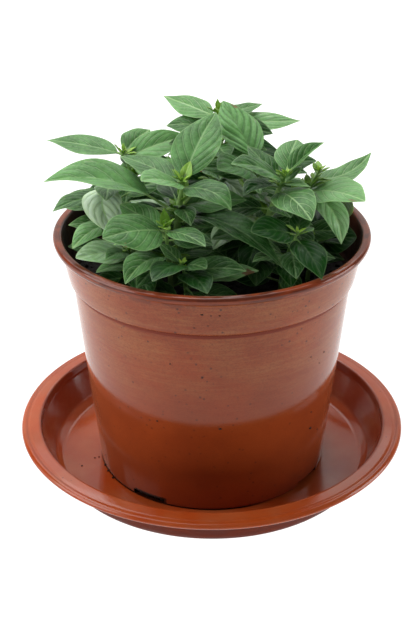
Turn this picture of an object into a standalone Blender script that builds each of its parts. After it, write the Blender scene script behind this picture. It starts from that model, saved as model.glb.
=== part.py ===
"""Potted basil: a round plastic pot on its saucer, filled with soil, with leafy basil stems.

World frame: metres, +Z up, origin at the middle of the saucer's underside. The front, with the
fullest stems, faces -Y. Leaf and stem tables are in millimetres and degrees, for easy reading.
"""
import math
import random

import bmesh
import bpy
import numpy as np
from mathutils.bvhtree import BVHTree

MM = 0.001
AROUND = 48            # sides of every turned piece, a multiple of 4
GAP = 0.3 * MM         # clearance between pieces that touch
MERGE = 0.00001        # merge distance of all modifiers
SEED = 5

# Saucer: a moulded plastic dish with a grooved flange
SAUCER_R = 102 * MM            # outer edge of the flange
SAUCER_FOOT_R = 80 * MM        # flat underside
SAUCER_FLOOR_Z = 2.2 * MM      # top of the floor
SAUCER_FLOOR_R = 80.5 * MM     # where the floor turns up into the wall
SAUCER_WALL_R = 91.5 * MM      # inner edge of the flange
SAUCER_RIM_Z = 24 * MM         # top of the inner edge
SAUCER_GROOVE_R = 98.4 * MM
SAUCER_SKIN = 2 * MM

# Pot: a 160 mm nursery pot, 130 mm tall, with a stepped collar and a rolled lip
POT_Z = SAUCER_FLOOR_Z + GAP   # underside of the foot
POT_H = 130 * MM
POT_FOOT_R = 59.7 * MM
POT_STEP_R = 71.1 * MM         # body just below the collar
POT_STEP_H = 106.2 * MM        # height of that step above the foot
POT_COLLAR_R = 73.0 * MM
POT_COLLAR_TOP_R = 76.4 * MM
POT_LIP_R = 80 * MM
POT_LIP_INNER_R = 75.2 * MM
POT_SKIN = 2.0 * MM
FOOT_RING_H = 3.5 * MM         # the base plate stands this far above the foot
FLOOR_SKIN = 1.8 * MM
NOTCH_H = 3.0 * MM             # drainage notches in the foot ring
NOTCH_W = 19 * MM
NOTCH_TURNS = (-33, 57, 147, 237)   # degrees from the front, towards +X
DRAIN_R = 4 * MM
DRAIN_RING_R = 38 * MM
DRAINS = 4

# Soil: fills the pot up to just below the collar
SOIL_EDGE_Z = 107.2 * MM
SOIL_TOP_Z = 108.4 * MM
SOIL_GRADE = 108.0             # mm, height at which the stems leave the soil
HOLE_DEPTH = 26.0              # mm, how far the root ends reach down

# Leaves and stems, mm
BLADE_THICKNESS = 0.8
PETIOLE_WIDTH = 1.6
TIP_WIDTH = 0.7
WIDEST = 0.756                 # exponent that puts the widest part at 40 % of the blade
CURL = 0.25                    # how far the edges arch down, per width
CLEAR = 0.75                   # mm kept on each side of a blade's middle surface
BIG_STATIONS = (0.0, 0.14, 0.35, 0.60, 0.82, 1.0)
SMALL_STATIONS = (0.0, 0.30, 0.68, 1.0)
BUD_STATIONS = (0.0, 0.40, 1.0)
SMALL_LENGTH = 23              # blades shorter than this take the small stations
BUD_LENGTH = 13                # and shorter than this the bud stations
LIGHT_ROLL = 26                # degrees that the lower pairs roll their face to the front

MATERIALS = {
    "terracotta_plastic": ((0.36, 0.115, 0.055), 0.38),
    "soil": ((0.02, 0.012, 0.008), 0.95),
    "leaf": ((0.075, 0.19, 0.05), 0.5),
}


def leaf(at, turn, rise, length, width, droop=20, roll=0, petiole=3, fold=12, sway=0, hook=1):
    """One leaf: its height on the stem, compass direction and first slope, and its blade."""
    return dict(at=at, turn=turn, rise=rise, length=length, width=width, droop=droop, roll=roll,
                petiole=petiole, fold=fold, sway=sway, hook=hook)


# Each stem: root (x, y) at the soil, tip (x, y, z), root radius, the leaves seen from the front,
# and the lower pairs (height, compass direction, blade length) that follow the plant's own rule
STEMS = {
    "leafy_stem_front_main": dict(
        root=(-18, -13), tip=(-14, -20, 166), radius=2.8,
        leaves=[
            leaf(165, 65, 40, 42, 25),
            leaf(164, 220, 25, 24, 20, droop=30, roll=-10, petiole=2, hook=3),
            leaf(162, 315, 15, 32, 18, droop=60, roll=10, hook=2),
            leaf(164, 140, 15, 38, 20, fold=14),
            leaf(147, 185, 35, 52, 30, droop=50, roll=-5, petiole=18, fold=22),
            leaf(147, 325, 10, 56, 20, droop=50, petiole=8, fold=20),
            leaf(143, 145, 15, 26, 14, roll=-10, petiole=4, fold=10),
            leaf(164, 55, 50, 11, 7, droop=10, petiole=1, fold=16),
            leaf(165, 180, 65, 7, 4, droop=10, petiole=1, fold=16),
            leaf(151, 5, 10, 30, 18, roll=20),
        ],
        pairs=[(140, 160, 26), (130, 70, 26)]),
    "leafy_stem_tallest": dict(
        root=(1, 26), tip=(3, 36, 180), radius=2.2,
        leaves=[
            leaf(178, 140, 5, 34, 15, droop=0, roll=-22, fold=8),
            leaf(176, 15, -5, 42, 17, droop=0, roll=20, fold=8),
            leaf(178, 40, 5, 28, 13, droop=10, roll=5),
            leaf(162, 30, -5, 36, 22, roll=30, petiole=5),
            leaf(149, 315, -5, 30, 14, droop=50, petiole=4),
            leaf(179, 60, 60, 6, 4, droop=10, petiole=1, fold=16),
            leaf(179, 240, 60, 5, 3, droop=10, petiole=1, fold=16),
        ],
        pairs=[(160, 200, 24), (144, 100, 28), (134, 190, 28), (124, 280, 24)]),
    "leafy_stem_centre": dict(
        root=(19, 4), tip=(22, 6, 167), radius=2.0,
        leaves=[
            leaf(166, 120, 40, 36, 23, droop=15),
            leaf(159, 230, 35, 28, 22, droop=30, roll=-25),
            leaf(131, 235, 20, 28, 18, droop=50, petiole=6, fold=16),
            leaf(156, 275, 25, 24, 14, droop=40),
            leaf(147, 280, 35, 20, 12, droop=40),
        ],
        pairs=[(146, 20, 24), (131, 60, 26), (122, 320, 22)]),
    "leafy_stem_right": dict(
        root=(23, -10), tip=(36, -16, 168), radius=2.2,
        leaves=[
            leaf(164, 210, 40, 30, 19, droop=30, roll=-15),
            leaf(167, 76, 30, 26, 16, droop=30),
            leaf(167, 35, 30, 23, 14, fold=40),
            leaf(158, 295, 15, 32, 21, droop=40, roll=10),
            leaf(162, 35, 30, 12, 7, droop=10, petiole=2, fold=16),
            leaf(162, 330, 15, 14, 7, petiole=2, fold=16),
            leaf(160, 125, 35, 26, 14, petiole=4),
            leaf(160, 220, 25, 22, 15, droop=70, fold=20, hook=2),
            leaf(166, 65, 25, 8, 5, droop=10, petiole=1, fold=16),
            leaf(166, 230, 45, 8, 5, droop=10, petiole=1, fold=16),
            leaf(141, 55, 15, 23, 13, droop=30, roll=15, petiole=4),
            leaf(133, 250, 0, 26, 15, droop=40, petiole=4),
        ],
        pairs=[(148, 170, 24), (136, 20, 24), (124, 290, 22)]),
    "leafy_stem_far_right": dict(
        root=(38, 0), tip=(53, -2, 164), radius=2.0,
        leaves=[
            leaf(160, 30, -15, 32, 17, droop=-60, petiole=4),
            leaf(153, 311, 19, 36, 24, droop=20, roll=14),
            leaf(151, 303, 8, 30, 16, droop=96, petiole=9),
            leaf(152, 30, -5, 28, 18, droop=80, petiole=8),
            leaf(162, 85, 20, 10, 5, droop=10, petiole=1, fold=16),
            leaf(159, 35, -10, 10, 5, droop=10, petiole=1, fold=16),
            leaf(156, 40, 0, 22, 15, roll=30, petiole=2),
        ],
        pairs=[(142, 200, 24), (132, 100, 26)]),
    "leafy_stem_far_left": dict(
        root=(-32, 20), tip=(-46, 30, 161), radius=2.0,
        leaves=[
            leaf(160, 160, 10, 40, 18, droop=15, roll=-12),
            leaf(160, 65, 15, 28, 15, roll=20),
            leaf(158, 25, 20, 34, 19, roll=25, fold=14),
            leaf(154, 345, 10, 26, 16, roll=25),
            leaf(160, 30, 25, 7, 3, droop=10, petiole=1, fold=20),
            leaf(160, 200, 60, 7, 4, droop=10, petiole=1, fold=20),
            leaf(140, 110, -5, 28, 16, droop=30, roll=-20, petiole=4),
            leaf(138, 70, -5, 26, 15, droop=30, roll=20, petiole=4),
        ],
        pairs=[(146, 10, 26), (127, 20, 26)]),
    "leafy_shoot_left": dict(
        root=(-44, 0), tip=(-50, 4, 155), radius=1.8,
        leaves=[
            leaf(153, 248, 6, 43, 20, droop=48, roll=2, sway=72, fold=14),
            leaf(146, 220, 25, 32, 17, droop=40, roll=-5, petiole=6),
            leaf(135, 225, 10, 27, 17, droop=45, petiole=6),
        ],
        pairs=[(153, 80, 24), (146, 15, 22)]),
    "leafy_shoot_low_left": dict(
        root=(-38, -22), tip=(-40, -30, 134), radius=1.6,
        leaves=[
            leaf(132, 205, 15, 26, 20, roll=-12, petiole=2),
            leaf(128, 220, 15, 12, 11, droop=30, petiole=2),
            leaf(121, 210, 25, 18, 12, droop=40),
        ],
        pairs=[(132, 60, 18)]),
    "leafy_shoot_front_left": dict(
        root=(-20, -32), tip=(-22, -42, 151), radius=1.8,
        leaves=[
            leaf(149, 215, 20, 32, 25, droop=25, roll=-24, fold=4),
            leaf(144, 142, 27, 25, 17, roll=-12, petiole=6),
            leaf(149, 315, 15, 24, 15, droop=30),
            leaf(132, 235, 25, 30, 19, droop=60, petiole=6, fold=20),
            leaf(150, 100, 70, 9, 5, droop=10, petiole=1, fold=16),
            leaf(150, 300, 60, 6, 4, droop=10, petiole=1, fold=16),
        ],
        pairs=[(130, 50, 24)]),
    "leafy_shoot_front": dict(
        root=(-12, -44), tip=(-14, -52, 137), radius=1.6,
        leaves=[
            leaf(136, 240, 25, 25, 16, droop=40, petiole=2),
            leaf(134, 315, 40, 15, 13, droop=50, roll=10, petiole=2),
            leaf(131, 295, 20, 24, 16, droop=40),
            leaf(128, 15, 5, 34, 18, droop=15, roll=10),
            leaf(136, 140, 35, 14, 9, petiole=2),
        ],
        pairs=[]),
    "leafy_shoot_front_right": dict(
        root=(34, -26), tip=(41, -36, 146), radius=1.8,
        leaves=[
            leaf(142, 292, 4, 29, 17, droop=42),
            leaf(144, 210, 30, 24, 18, droop=30, roll=-25),
            leaf(145, 75, 35, 14, 11, petiole=2),
            leaf(145, 60, 0, 14, 9, petiole=2),
            leaf(127, 275, 10, 20, 12, droop=40),
            leaf(129, 220, 30, 20, 12, droop=40),
        ],
        pairs=[(129, 20, 20)]),
    "leafy_shoot_low_right": dict(
        root=(48, -12), tip=(55, -5, 129), radius=1.6,
        leaves=[
            leaf(127, 355, 20, 17, 21, roll=25, petiole=2),
            leaf(128, 95, 30, 22, 14, petiole=2),
            leaf(127, 310, 30, 14, 9, droop=30, petiole=2),
        ],
        pairs=[]),
    "leafy_stem_back_left": dict(
        root=(-16, 40), tip=(-20, 48, 148), radius=2.0,
        leaves=[
            leaf(141, 125, 0, 34, 18, droop=30, roll=-25, petiole=4),
            leaf(141, 65, -10, 28, 15, droop=30, roll=25, petiole=4),
            leaf(129, 245, 35, 32, 17, droop=40, roll=-25, petiole=4),
            leaf(127, 295, 35, 32, 17, droop=40, roll=25, petiole=4),
            leaf(147, 20, 65, 7, 4, droop=10, petiole=1, fold=16),
            leaf(147, 200, 65, 6, 4, droop=10, petiole=1, fold=16),
        ],
        pairs=[(146, 10, 28)]),
    "leafy_stem_back_middle": dict(
        root=(14, 42), tip=(16, 48, 146), radius=2.0,
        leaves=[
            leaf(140, 120, -10, 30, 16, droop=30, roll=-25, petiole=4),
            leaf(140, 55, 0, 34, 18, droop=30, roll=25, petiole=4),
            leaf(129, 255, 35, 29, 16, droop=40, roll=-25, petiole=4),
            leaf(127, 305, 35, 29, 16, droop=40, roll=25, petiole=4),
            leaf(145, 60, 65, 7, 4, droop=10, petiole=1, fold=16),
            leaf(145, 240, 65, 6, 4, droop=10, petiole=1, fold=16),
        ],
        pairs=[(144, 170, 28), (133, 10, 28)]),
    "leafy_stem_back_right": dict(
        root=(40, 30), tip=(46, 36, 138), radius=1.9,
        leaves=[
            leaf(137, 110, -5, 28, 16, droop=30, roll=-25, petiole=4),
            leaf(137, 30, 60, 7, 4, droop=10, petiole=1, fold=16),
            leaf(137, 210, 60, 6, 4, droop=10, petiole=1, fold=16),
        ],
        pairs=[(136, 20, 28), (128, 140, 30), (121, 60, 24)]),
}


def clear_scene():
    for old in list(bpy.data.objects):
        bpy.data.objects.remove(old)


def new_collection(name):
    made = bpy.data.collections.new(name)
    bpy.context.scene.collection.children.link(made)
    return made


def material(name):
    colour, roughness = MATERIALS[name]
    made = bpy.data.materials.new(name)
    made.use_nodes = True
    shader = made.node_tree.nodes["Principled BSDF"]
    shader.inputs["Base Color"].default_value = (*colour, 1)
    shader.inputs["Roughness"].default_value = roughness
    shader.inputs["Metallic"].default_value = 0
    return made


def evaluated_mesh(source):
    """A plain mesh of an object as its modifiers leave it."""
    graph = bpy.context.evaluated_depsgraph_get()
    return bpy.data.meshes.new_from_object(source.evaluated_get(graph))


def turned(name, profile, collection):
    """A piece turned about Z from (radius, height) points: down the outer side, top to bottom."""
    mesh = bpy.data.meshes.new(name)
    made = bpy.data.objects.new(name, mesh)
    collection.objects.link(made)
    form = bmesh.new()
    points = [form.verts.new((radius, 0, height)) for radius, height in profile]
    for start, end in zip(points, points[1:]):
        form.edges.new((start, end))
    form.to_mesh(mesh)
    form.free()
    screw = made.modifiers.new("turn", "SCREW")
    screw.steps = AROUND
    screw.render_steps = AROUND
    screw.use_merge_vertices = True
    screw.merge_threshold = MERGE
    weld = made.modifiers.new("axis", "WELD")
    weld.merge_threshold = MERGE
    return made


def cut(target, cutters, name):
    """Cuts a collection of hidden tools out of the target."""
    boolean = target.modifiers.new(name, "BOOLEAN")
    boolean.operation = "DIFFERENCE"
    boolean.operand_type = "COLLECTION"
    boolean.collection = cutters
    boolean.solver = "EXACT"


def as_cutter(tool, collection):
    for home in list(tool.users_collection):
        home.objects.unlink(tool)
    collection.objects.link(tool)
    tool.hide_render = True
    tool.display_type = "WIRE"


def smooth(target):
    target.data.shade_smooth()
    target.data.set_sharp_from_angle(angle=math.radians(35))


def build_saucer(parts):
    floor = SAUCER_FLOOR_Z
    wall = SAUCER_WALL_R
    rim = SAUCER_RIM_Z
    skin = SAUCER_SKIN
    groove = SAUCER_GROOVE_R
    profile = [
        (0, floor),
        (SAUCER_FLOOR_R, floor),
        (SAUCER_FLOOR_R + 3.7 * MM, floor + 3.3 * MM),
        (wall - 0.2 * MM, rim - 5 * MM),
        (wall, rim - 0.6 * MM),
        (wall + 1.2 * MM, rim),
        (groove - 1.2 * MM, rim - 0.7 * MM),
        (groove, rim - 1.2 * MM),
        (groove + 1.4 * MM, rim - 0.8 * MM),
        (SAUCER_R - 0.8 * MM, rim - 1.4 * MM),
        (SAUCER_R, rim - 2.6 * MM),
        (SAUCER_R - 0.8 * MM, rim - 3.8 * MM),
        (wall + skin + 1.2 * MM, rim - 3.0 * MM),
        (wall + skin, rim - 4.6 * MM),
        (SAUCER_FOOT_R + 5.5 * MM, 4.5 * MM),
        (SAUCER_FOOT_R + 2.6 * MM, 1.0 * MM),
        (SAUCER_FOOT_R, 0),
        (0, 0),
    ]
    return turned("saucer", profile, parts)


def pot_inner_radius(height):
    """Radius of the pot's inner wall below the collar step, at a world height."""
    low = POT_Z + FOOT_RING_H + FLOOR_SKIN
    high = POT_Z + POT_STEP_H - 1.2 * MM
    share = (height - low) / (high - low)
    low_r = POT_FOOT_R - POT_SKIN + 0.5 * MM
    high_r = POT_STEP_R - POT_SKIN
    return low_r + share * (high_r - low_r)


def pot_upper_inside():
    """(radius, height) points of the inside above the soil, from the collar step to the lip."""
    top = POT_Z + POT_H
    step = POT_Z + POT_STEP_H
    return [
        (POT_STEP_R - POT_SKIN, step - 1.2 * MM),
        (POT_COLLAR_R - POT_SKIN, step + 1.4 * MM),
        (POT_COLLAR_TOP_R - POT_SKIN, top - 4.0 * MM),
        (POT_LIP_INNER_R, top - 1.2 * MM),
        (POT_LIP_INNER_R + 1.0 * MM, top),
    ]


def build_pot(parts, tools):
    base = POT_Z
    top = POT_Z + POT_H
    step = POT_Z + POT_STEP_H
    plate = base + FOOT_RING_H
    floor = plate + FLOOR_SKIN
    profile = [
        (0, floor),
        (pot_inner_radius(floor), floor),
        *pot_upper_inside(),
        (POT_LIP_R - 1.0 * MM, top - 0.2 * MM),
        (POT_LIP_R, top - 1.4 * MM),
        (POT_LIP_R - 0.6 * MM, top - 2.6 * MM),
        (POT_COLLAR_TOP_R + 0.5 * MM, top - 3.0 * MM),
        (POT_COLLAR_TOP_R, top - 4.4 * MM),
        (POT_COLLAR_R, step + 1.2 * MM),
        (POT_STEP_R - 0.2 * MM, step + 0.5 * MM),
        (POT_STEP_R, step),
        (POT_FOOT_R + 0.4 * MM, base + 1.5 * MM),
        (POT_FOOT_R, base),
        (POT_FOOT_R - POT_SKIN, base),
        (POT_FOOT_R - POT_SKIN - 0.4 * MM, plate),
        (0, plate),
    ]
    pot = turned("pot", profile, parts)
    for turn in NOTCH_TURNS:
        away = math.radians(turn)
        reach = POT_FOOT_R - POT_SKIN / 2
        bpy.ops.mesh.primitive_cube_add(size=1)
        tool = bpy.context.object
        tool.name = "foot_notch_tool"
        tool.scale = (NOTCH_W, 8 * MM, 2 * NOTCH_H)
        tool.location = (reach * math.sin(away), -reach * math.cos(away), base)
        tool.rotation_euler = (0, 0, away)
        as_cutter(tool, tools)
    for k in range(DRAINS):
        turn = math.tau * (k + 0.5) / DRAINS
        bpy.ops.mesh.primitive_cylinder_add(vertices=12, radius=DRAIN_R, depth=8 * MM)
        tool = bpy.context.object
        tool.name = "drain_tool"
        tool.location = (DRAIN_RING_R * math.cos(turn), DRAIN_RING_R * math.sin(turn), plate)
        as_cutter(tool, tools)
    cut(pot, tools, "notches and drains")
    return pot


def stem_point(stem, height):
    """Centre of a stem in mm: upright at the root, then leaning over towards its tip."""
    root_x, root_y = stem["root"]
    tip_x, tip_y, tip_z = stem["tip"]
    share = max(0.0, (height - SOIL_GRADE) / (tip_z - SOIL_GRADE))
    lean = share * share
    return np.array([root_x + (tip_x - root_x) * lean, root_y + (tip_y - root_y) * lean, height])


def stem_radius(stem, height):
    share = max(0.0, (height - SOIL_GRADE) / (stem["tip"][2] - SOIL_GRADE))
    return stem["radius"] * (1 - 0.42 * share)


def build_soil(parts, tools):
    low = POT_Z + FOOT_RING_H + FLOOR_SKIN + GAP
    edge = SOIL_EDGE_Z
    profile = [
        (0, SOIL_TOP_Z),
        (24 * MM, SOIL_TOP_Z + 0.5 * MM),
        (46 * MM, SOIL_TOP_Z - 0.2 * MM),
        (60 * MM, SOIL_TOP_Z + 0.3 * MM),
        (pot_inner_radius(edge) - GAP, edge),
        (pot_inner_radius(low) - GAP, low),
        (0, low),
    ]
    soil = turned("soil", profile, parts)
    for stem in STEMS.values():
        depth = (HOLE_DEPTH + 12) * MM
        x, y = stem["root"]
        bpy.ops.mesh.primitive_cylinder_add(vertices=8, radius=stem["radius"] * MM * 1.1 + GAP, depth=depth)
        tool = bpy.context.object
        tool.name = "stem_hole_tool"
        tool.location = (x * MM, y * MM, (SOIL_GRADE - HOLE_DEPTH) * MM - GAP + depth / 2)
        as_cutter(tool, tools)
    cut(soil, tools, "stem holes")
    return soil


def heading(turn, rise):
    around = math.radians(turn)
    up = math.radians(rise)
    return np.array([math.cos(around) * math.cos(up), math.sin(around) * math.cos(up), math.sin(up)])


def leaf_surface(base, shape, stations, columns=2, slices=40):
    """Points and normals of a leaf's middle surface, row by row from the stem to the tip.

    The first row is at the stem, the second where the petiole meets the blade.
    """
    turn, rise, droop = shape["turn"], shape["rise"], shape["droop"]
    sway, hook = shape["sway"], shape["hook"]
    start = base + heading(turn, rise) * shape["petiole"]
    midrib = [start]
    for k in range(slices):
        t = (k + 0.5) / slices
        step = heading(turn + sway * t, rise - droop * t ** hook)
        midrib.append(midrib[-1] + step * shape["length"] / slices)
    midrib = np.array(midrib)
    at = np.linspace(0, 1, slices + 1)
    rows = [(base, 0.0, PETIOLE_WIDTH / 2)]
    for t in stations:
        middle = np.array([np.interp(t, at, midrib[:, k]) for k in range(3)])
        half = shape["width"] / 2 * math.sin(math.pi * t ** WIDEST)
        least = PETIOLE_WIDTH / 2 if t < 0.5 else TIP_WIDTH / 2
        rows.append((middle, t, max(half, least)))
    roll = math.radians(shape["roll"])
    fold = math.radians(shape["fold"])
    points = []
    normals = []
    for middle, t, half in rows:
        around = math.radians(turn + sway * t)
        up = math.radians(rise - droop * t ** hook)
        side = np.array([math.sin(around), -math.cos(around), 0])
        face = np.array([-math.cos(around) * math.sin(up), -math.sin(around) * math.sin(up), math.cos(up)])
        rolled_side = side * math.cos(roll) - face * math.sin(roll)
        rolled_face = face * math.cos(roll) + side * math.sin(roll)
        row = []
        for u in np.linspace(-1, 1, columns + 1):
            x = u * half
            lift = abs(x) * math.sin(fold) - CURL * x * x / shape["width"]
            row.append(middle + rolled_side * x * math.cos(fold) + rolled_face * lift)
        points.append(row)
        normals.append([rolled_face] * (columns + 1))
    return np.array(points), np.array(normals)


def stations_of(shape):
    if shape["length"] < BUD_LENGTH:
        return BUD_STATIONS
    return SMALL_STATIONS if shape["length"] < SMALL_LENGTH else BIG_STATIONS


def slab(points, normals, half):
    """A closed slab about a leaf's middle surface, for testing what it would touch."""
    rows, columns = points.shape[:2]
    corners = np.concatenate([points + normals * half, points - normals * half]).reshape(-1, 3)
    below = rows * columns
    faces = []
    for i in range(rows - 1):
        for j in range(columns - 1):
            a = i * columns + j
            faces.append((a, a + 1, a + columns + 1, a + columns))
            faces.append((a + below, a + columns + below, a + columns + 1 + below, a + 1 + below))
    ring = [i * columns for i in range(rows)]
    ring += [(rows - 1) * columns + j for j in range(1, columns)]
    ring += [i * columns + columns - 1 for i in range(rows - 2, -1, -1)]
    ring += [j for j in range(columns - 2, 0, -1)]
    for a, b in zip(ring, ring[1:] + ring[:1]):
        faces.append((a, b, b + below, a + below))
    return corners, faces


class Room:
    """What already stands in the pot, so that each new leaf can be bent clear of it."""

    def __init__(self):
        self.taken = []

    def add(self, owner, corners, faces):
        tree = BVHTree.FromPolygons([tuple(c) for c in corners], faces)
        self.taken.append((owner, corners.min(0), corners.max(0), tree))

    def is_free(self, corners, faces, owners_to_skip=()):
        low, high = corners.min(0), corners.max(0)
        tree = None
        for owner, other_low, other_high, other in self.taken:
            if owner in owners_to_skip:
                continue
            if np.any(low > other_high) or np.any(high < other_low):
                continue
            if tree is None:
                tree = BVHTree.FromPolygons([tuple(c) for c in corners], faces)
            if tree.overlap(other):
                return False
        return True


def ring_surface(profile, sides=AROUND):
    """Corners and faces of a turned wall in mm, from (radius, height) points in metres."""
    corners = []
    for radius, height in profile:
        for k in range(sides):
            around = math.tau * k / sides
            corners.append((radius / MM * math.cos(around), radius / MM * math.sin(around), height / MM))
    faces = []
    for i in range(len(profile) - 1):
        for k in range(sides):
            a = i * sides + k
            b = i * sides + (k + 1) % sides
            faces.append((a, b, b + sides, a + sides))
    return np.array(corners), faces


def stem_tube(stem, extra, sides=6, steps=10):
    corners = []
    tip_z = stem["tip"][2]
    for k in range(steps + 1):
        height = SOIL_GRADE + (tip_z - SOIL_GRADE) * k / steps
        middle = stem_point(stem, height)
        radius = stem_radius(stem, height) + extra
        for j in range(sides):
            around = math.tau * j / sides
            corners.append(middle + np.array([math.cos(around) * radius, math.sin(around) * radius, 0]))
    faces = []
    for i in range(steps):
        for j in range(sides):
            a = i * sides + j
            b = i * sides + (j + 1) % sides
            faces.append((a, b, b + sides, a + sides))
    faces.append(tuple(steps * sides + j for j in range(sides)))
    return np.array(corners), faces


def bends():
    """Changes of direction and slope, in degrees, from the smallest up."""
    yield 0, 0
    for size in (3, 6, 9, 12, 16, 20, 25, 30, 36):
        for k in range(8):
            around = math.tau * k / 8
            yield size * math.cos(around), size * math.sin(around)


def bent_clear(room, owner, base, shape):
    """The same leaf, turned or raised just enough to touch nothing, or None."""
    for shrink in (1.0, 0.85, 0.7):
        for more_turn, more_rise in bends():
            tried = dict(shape)
            tried["turn"] += more_turn
            tried["rise"] += more_rise
            tried["length"] *= shrink
            tried["width"] *= shrink
            points, normals = leaf_surface(base, tried, stations_of(tried))
            corners, faces = slab(points, normals, CLEAR)
            if not room.is_free(corners, faces, (owner, owner + " blades")):
                continue
            outer, outer_faces = slab(points[2:], normals[2:], CLEAR / 2)
            if room.is_free(outer, outer_faces, (owner,)):
                return tried, (corners, faces), (outer, outer_faces)
    return None


def rule_leaves(stem, draw):
    """The opposite pairs of leaves lower on a stem, each pair a little off the last one's cross."""
    made = []
    for height, turn, length in stem["pairs"]:
        for side in (0, 180):
            size = length * draw.uniform(0.85, 1.1)
            way = turn + side + draw.uniform(-12, 12)
            roll = LIGHT_ROLL * math.cos(math.radians(way)) + draw.uniform(-8, 8)
            made.append(leaf(height, way, draw.uniform(5, 28), size, size * draw.uniform(0.5, 0.58),
                             droop=draw.uniform(20, 55), roll=roll, petiole=draw.uniform(3, 6)))
    return made


def arrange():
    """All leaves of all stems, bent clear of each other, the pot and the soil."""
    room = Room()
    room.add("pot", *ring_surface(pot_upper_inside()))
    room.add("soil", *ring_surface([(73 * MM, SOIL_TOP_Z + 1 * MM), (0.1 * MM, SOIL_TOP_Z + 1 * MM)]))
    for name, stem in STEMS.items():
        room.add(name, *stem_tube(stem, 0.8))
    draw = random.Random(SEED)
    wanted = [(name, shape) for name, stem in STEMS.items() for shape in stem["leaves"]]
    wanted += [(name, shape) for name, stem in STEMS.items() for shape in rule_leaves(stem, draw)]
    placed = {name: [] for name in STEMS}
    for name, shape in wanted:
        base = stem_point(STEMS[name], shape["at"])
        found = bent_clear(room, name, base, shape)
        if found is None:
            continue
        fitted, whole, outer = found
        room.add(name, *whole)
        room.add(name + " blades", *outer)
        placed[name].append((base, fitted))
    return placed


def leaf_object(base, shape, collection):
    """A thin blade with its petiole: a grid bent to the leaf's form and given a thickness."""
    stations = stations_of(shape)
    points, _ = leaf_surface(base, shape, stations)
    rows = len(stations) + 1
    form = bmesh.new()
    bmesh.ops.create_grid(form, x_segments=2, y_segments=rows - 1, size=1)
    for corner in form.verts:
        row = round((corner.co.y + 1) / 2 * (rows - 1))
        column = round(corner.co.x + 1)
        corner.co = points[row, column] * MM
    bmesh.ops.triangulate(form, faces=form.faces[:])
    mesh = bpy.data.meshes.new("leaf")
    form.to_mesh(mesh)
    form.free()
    made = bpy.data.objects.new("leaf", mesh)
    collection.objects.link(made)
    solid = made.modifiers.new("thickness", "SOLIDIFY")
    solid.thickness = BLADE_THICKNESS * MM
    solid.offset = 0
    return made


def stem_mesh(name, stem):
    """A square tapering stem, from its root end in the soil to its tip."""
    curve = bpy.data.curves.new(name, "CURVE")
    curve.dimensions = "3D"
    curve.bevel_depth = stem["radius"] * MM
    curve.bevel_resolution = 0
    curve.use_fill_caps = True
    tip_z = stem["tip"][2]
    heights = [SOIL_GRADE - HOLE_DEPTH, SOIL_GRADE]
    heights += [SOIL_GRADE + (tip_z - SOIL_GRADE) * k / 5 for k in range(1, 6)]
    line = curve.splines.new("POLY")
    line.points.add(len(heights) - 1)
    for point, height in zip(line.points, heights):
        point.co = (*(stem_point(stem, height) * MM), 1)
        point.radius = stem_radius(stem, height) / stem["radius"]
    guide = bpy.data.objects.new(name + "_curve", curve)
    bpy.context.scene.collection.objects.link(guide)
    mesh = evaluated_mesh(guide)
    bpy.data.objects.remove(guide)
    form = bmesh.new()
    form.from_mesh(mesh)
    bmesh.ops.remove_doubles(form, verts=form.verts, dist=MERGE)
    form.to_mesh(mesh)
    form.free()
    return mesh


def build_leafy_stem(name, stem, leaves, parts):
    """One stem with all its leaves, joined into a single body."""
    loose = new_collection(name + "_leaves")
    made = bpy.data.objects.new(name, stem_mesh(name, stem))
    parts.objects.link(made)
    for base, shape in leaves:
        leaf_object(base, shape, loose)
    joint = made.modifiers.new("leaves", "BOOLEAN")
    joint.operation = "UNION"
    joint.operand_type = "COLLECTION"
    joint.collection = loose
    joint.solver = "EXACT"
    whole = evaluated_mesh(made)
    made.modifiers.clear()
    made.data = whole
    whole.name = name
    for blade in list(loose.objects):
        bpy.data.objects.remove(blade)
    bpy.data.collections.remove(loose)
    return made


def build():
    clear_scene()
    parts = new_collection("potted_basil")
    tools = new_collection("cutters")
    pot_tools = bpy.data.collections.new("pot_cutters")
    soil_tools = bpy.data.collections.new("soil_cutters")
    tools.children.link(pot_tools)
    tools.children.link(soil_tools)
    plastic = material("terracotta_plastic")
    earth = material("soil")
    green = material("leaf")
    for piece in (build_saucer(parts), build_pot(parts, pot_tools)):
        piece.data.materials.append(plastic)
        smooth(piece)
    soil = build_soil(parts, soil_tools)
    soil.data.materials.append(earth)
    smooth(soil)
    for name, leaves in arrange().items():
        leafy = build_leafy_stem(name, STEMS[name], leaves, parts)
        leafy.data.materials.clear()
        leafy.data.materials.append(green)
        smooth(leafy)


build()
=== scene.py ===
"""Looks of the potted basil: dressed pot, saucer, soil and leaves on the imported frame.

World frame: metres, +Z up, the front faces -Y. Leaf and stem values are in millimetres and degrees.
"""
import math
import random
from collections import namedtuple
from math import cos, exp, pi, radians, sin, sqrt, tau

import bmesh
import bpy
import numpy as np
from mathutils import Matrix, Vector, noise
from mathutils.bvhtree import BVHTree


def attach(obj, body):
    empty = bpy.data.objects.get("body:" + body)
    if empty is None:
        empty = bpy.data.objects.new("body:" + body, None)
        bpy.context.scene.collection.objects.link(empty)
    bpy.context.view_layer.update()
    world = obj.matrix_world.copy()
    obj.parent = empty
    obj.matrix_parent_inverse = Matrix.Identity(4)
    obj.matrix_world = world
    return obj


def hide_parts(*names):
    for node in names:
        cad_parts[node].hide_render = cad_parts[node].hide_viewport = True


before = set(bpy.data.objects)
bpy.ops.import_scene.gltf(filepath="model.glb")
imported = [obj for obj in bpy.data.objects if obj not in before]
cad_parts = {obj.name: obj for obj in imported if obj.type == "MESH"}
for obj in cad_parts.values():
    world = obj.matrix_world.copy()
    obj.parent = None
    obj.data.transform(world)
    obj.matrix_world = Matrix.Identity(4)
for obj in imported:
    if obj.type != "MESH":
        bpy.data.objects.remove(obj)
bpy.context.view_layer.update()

MM = 0.001
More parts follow.
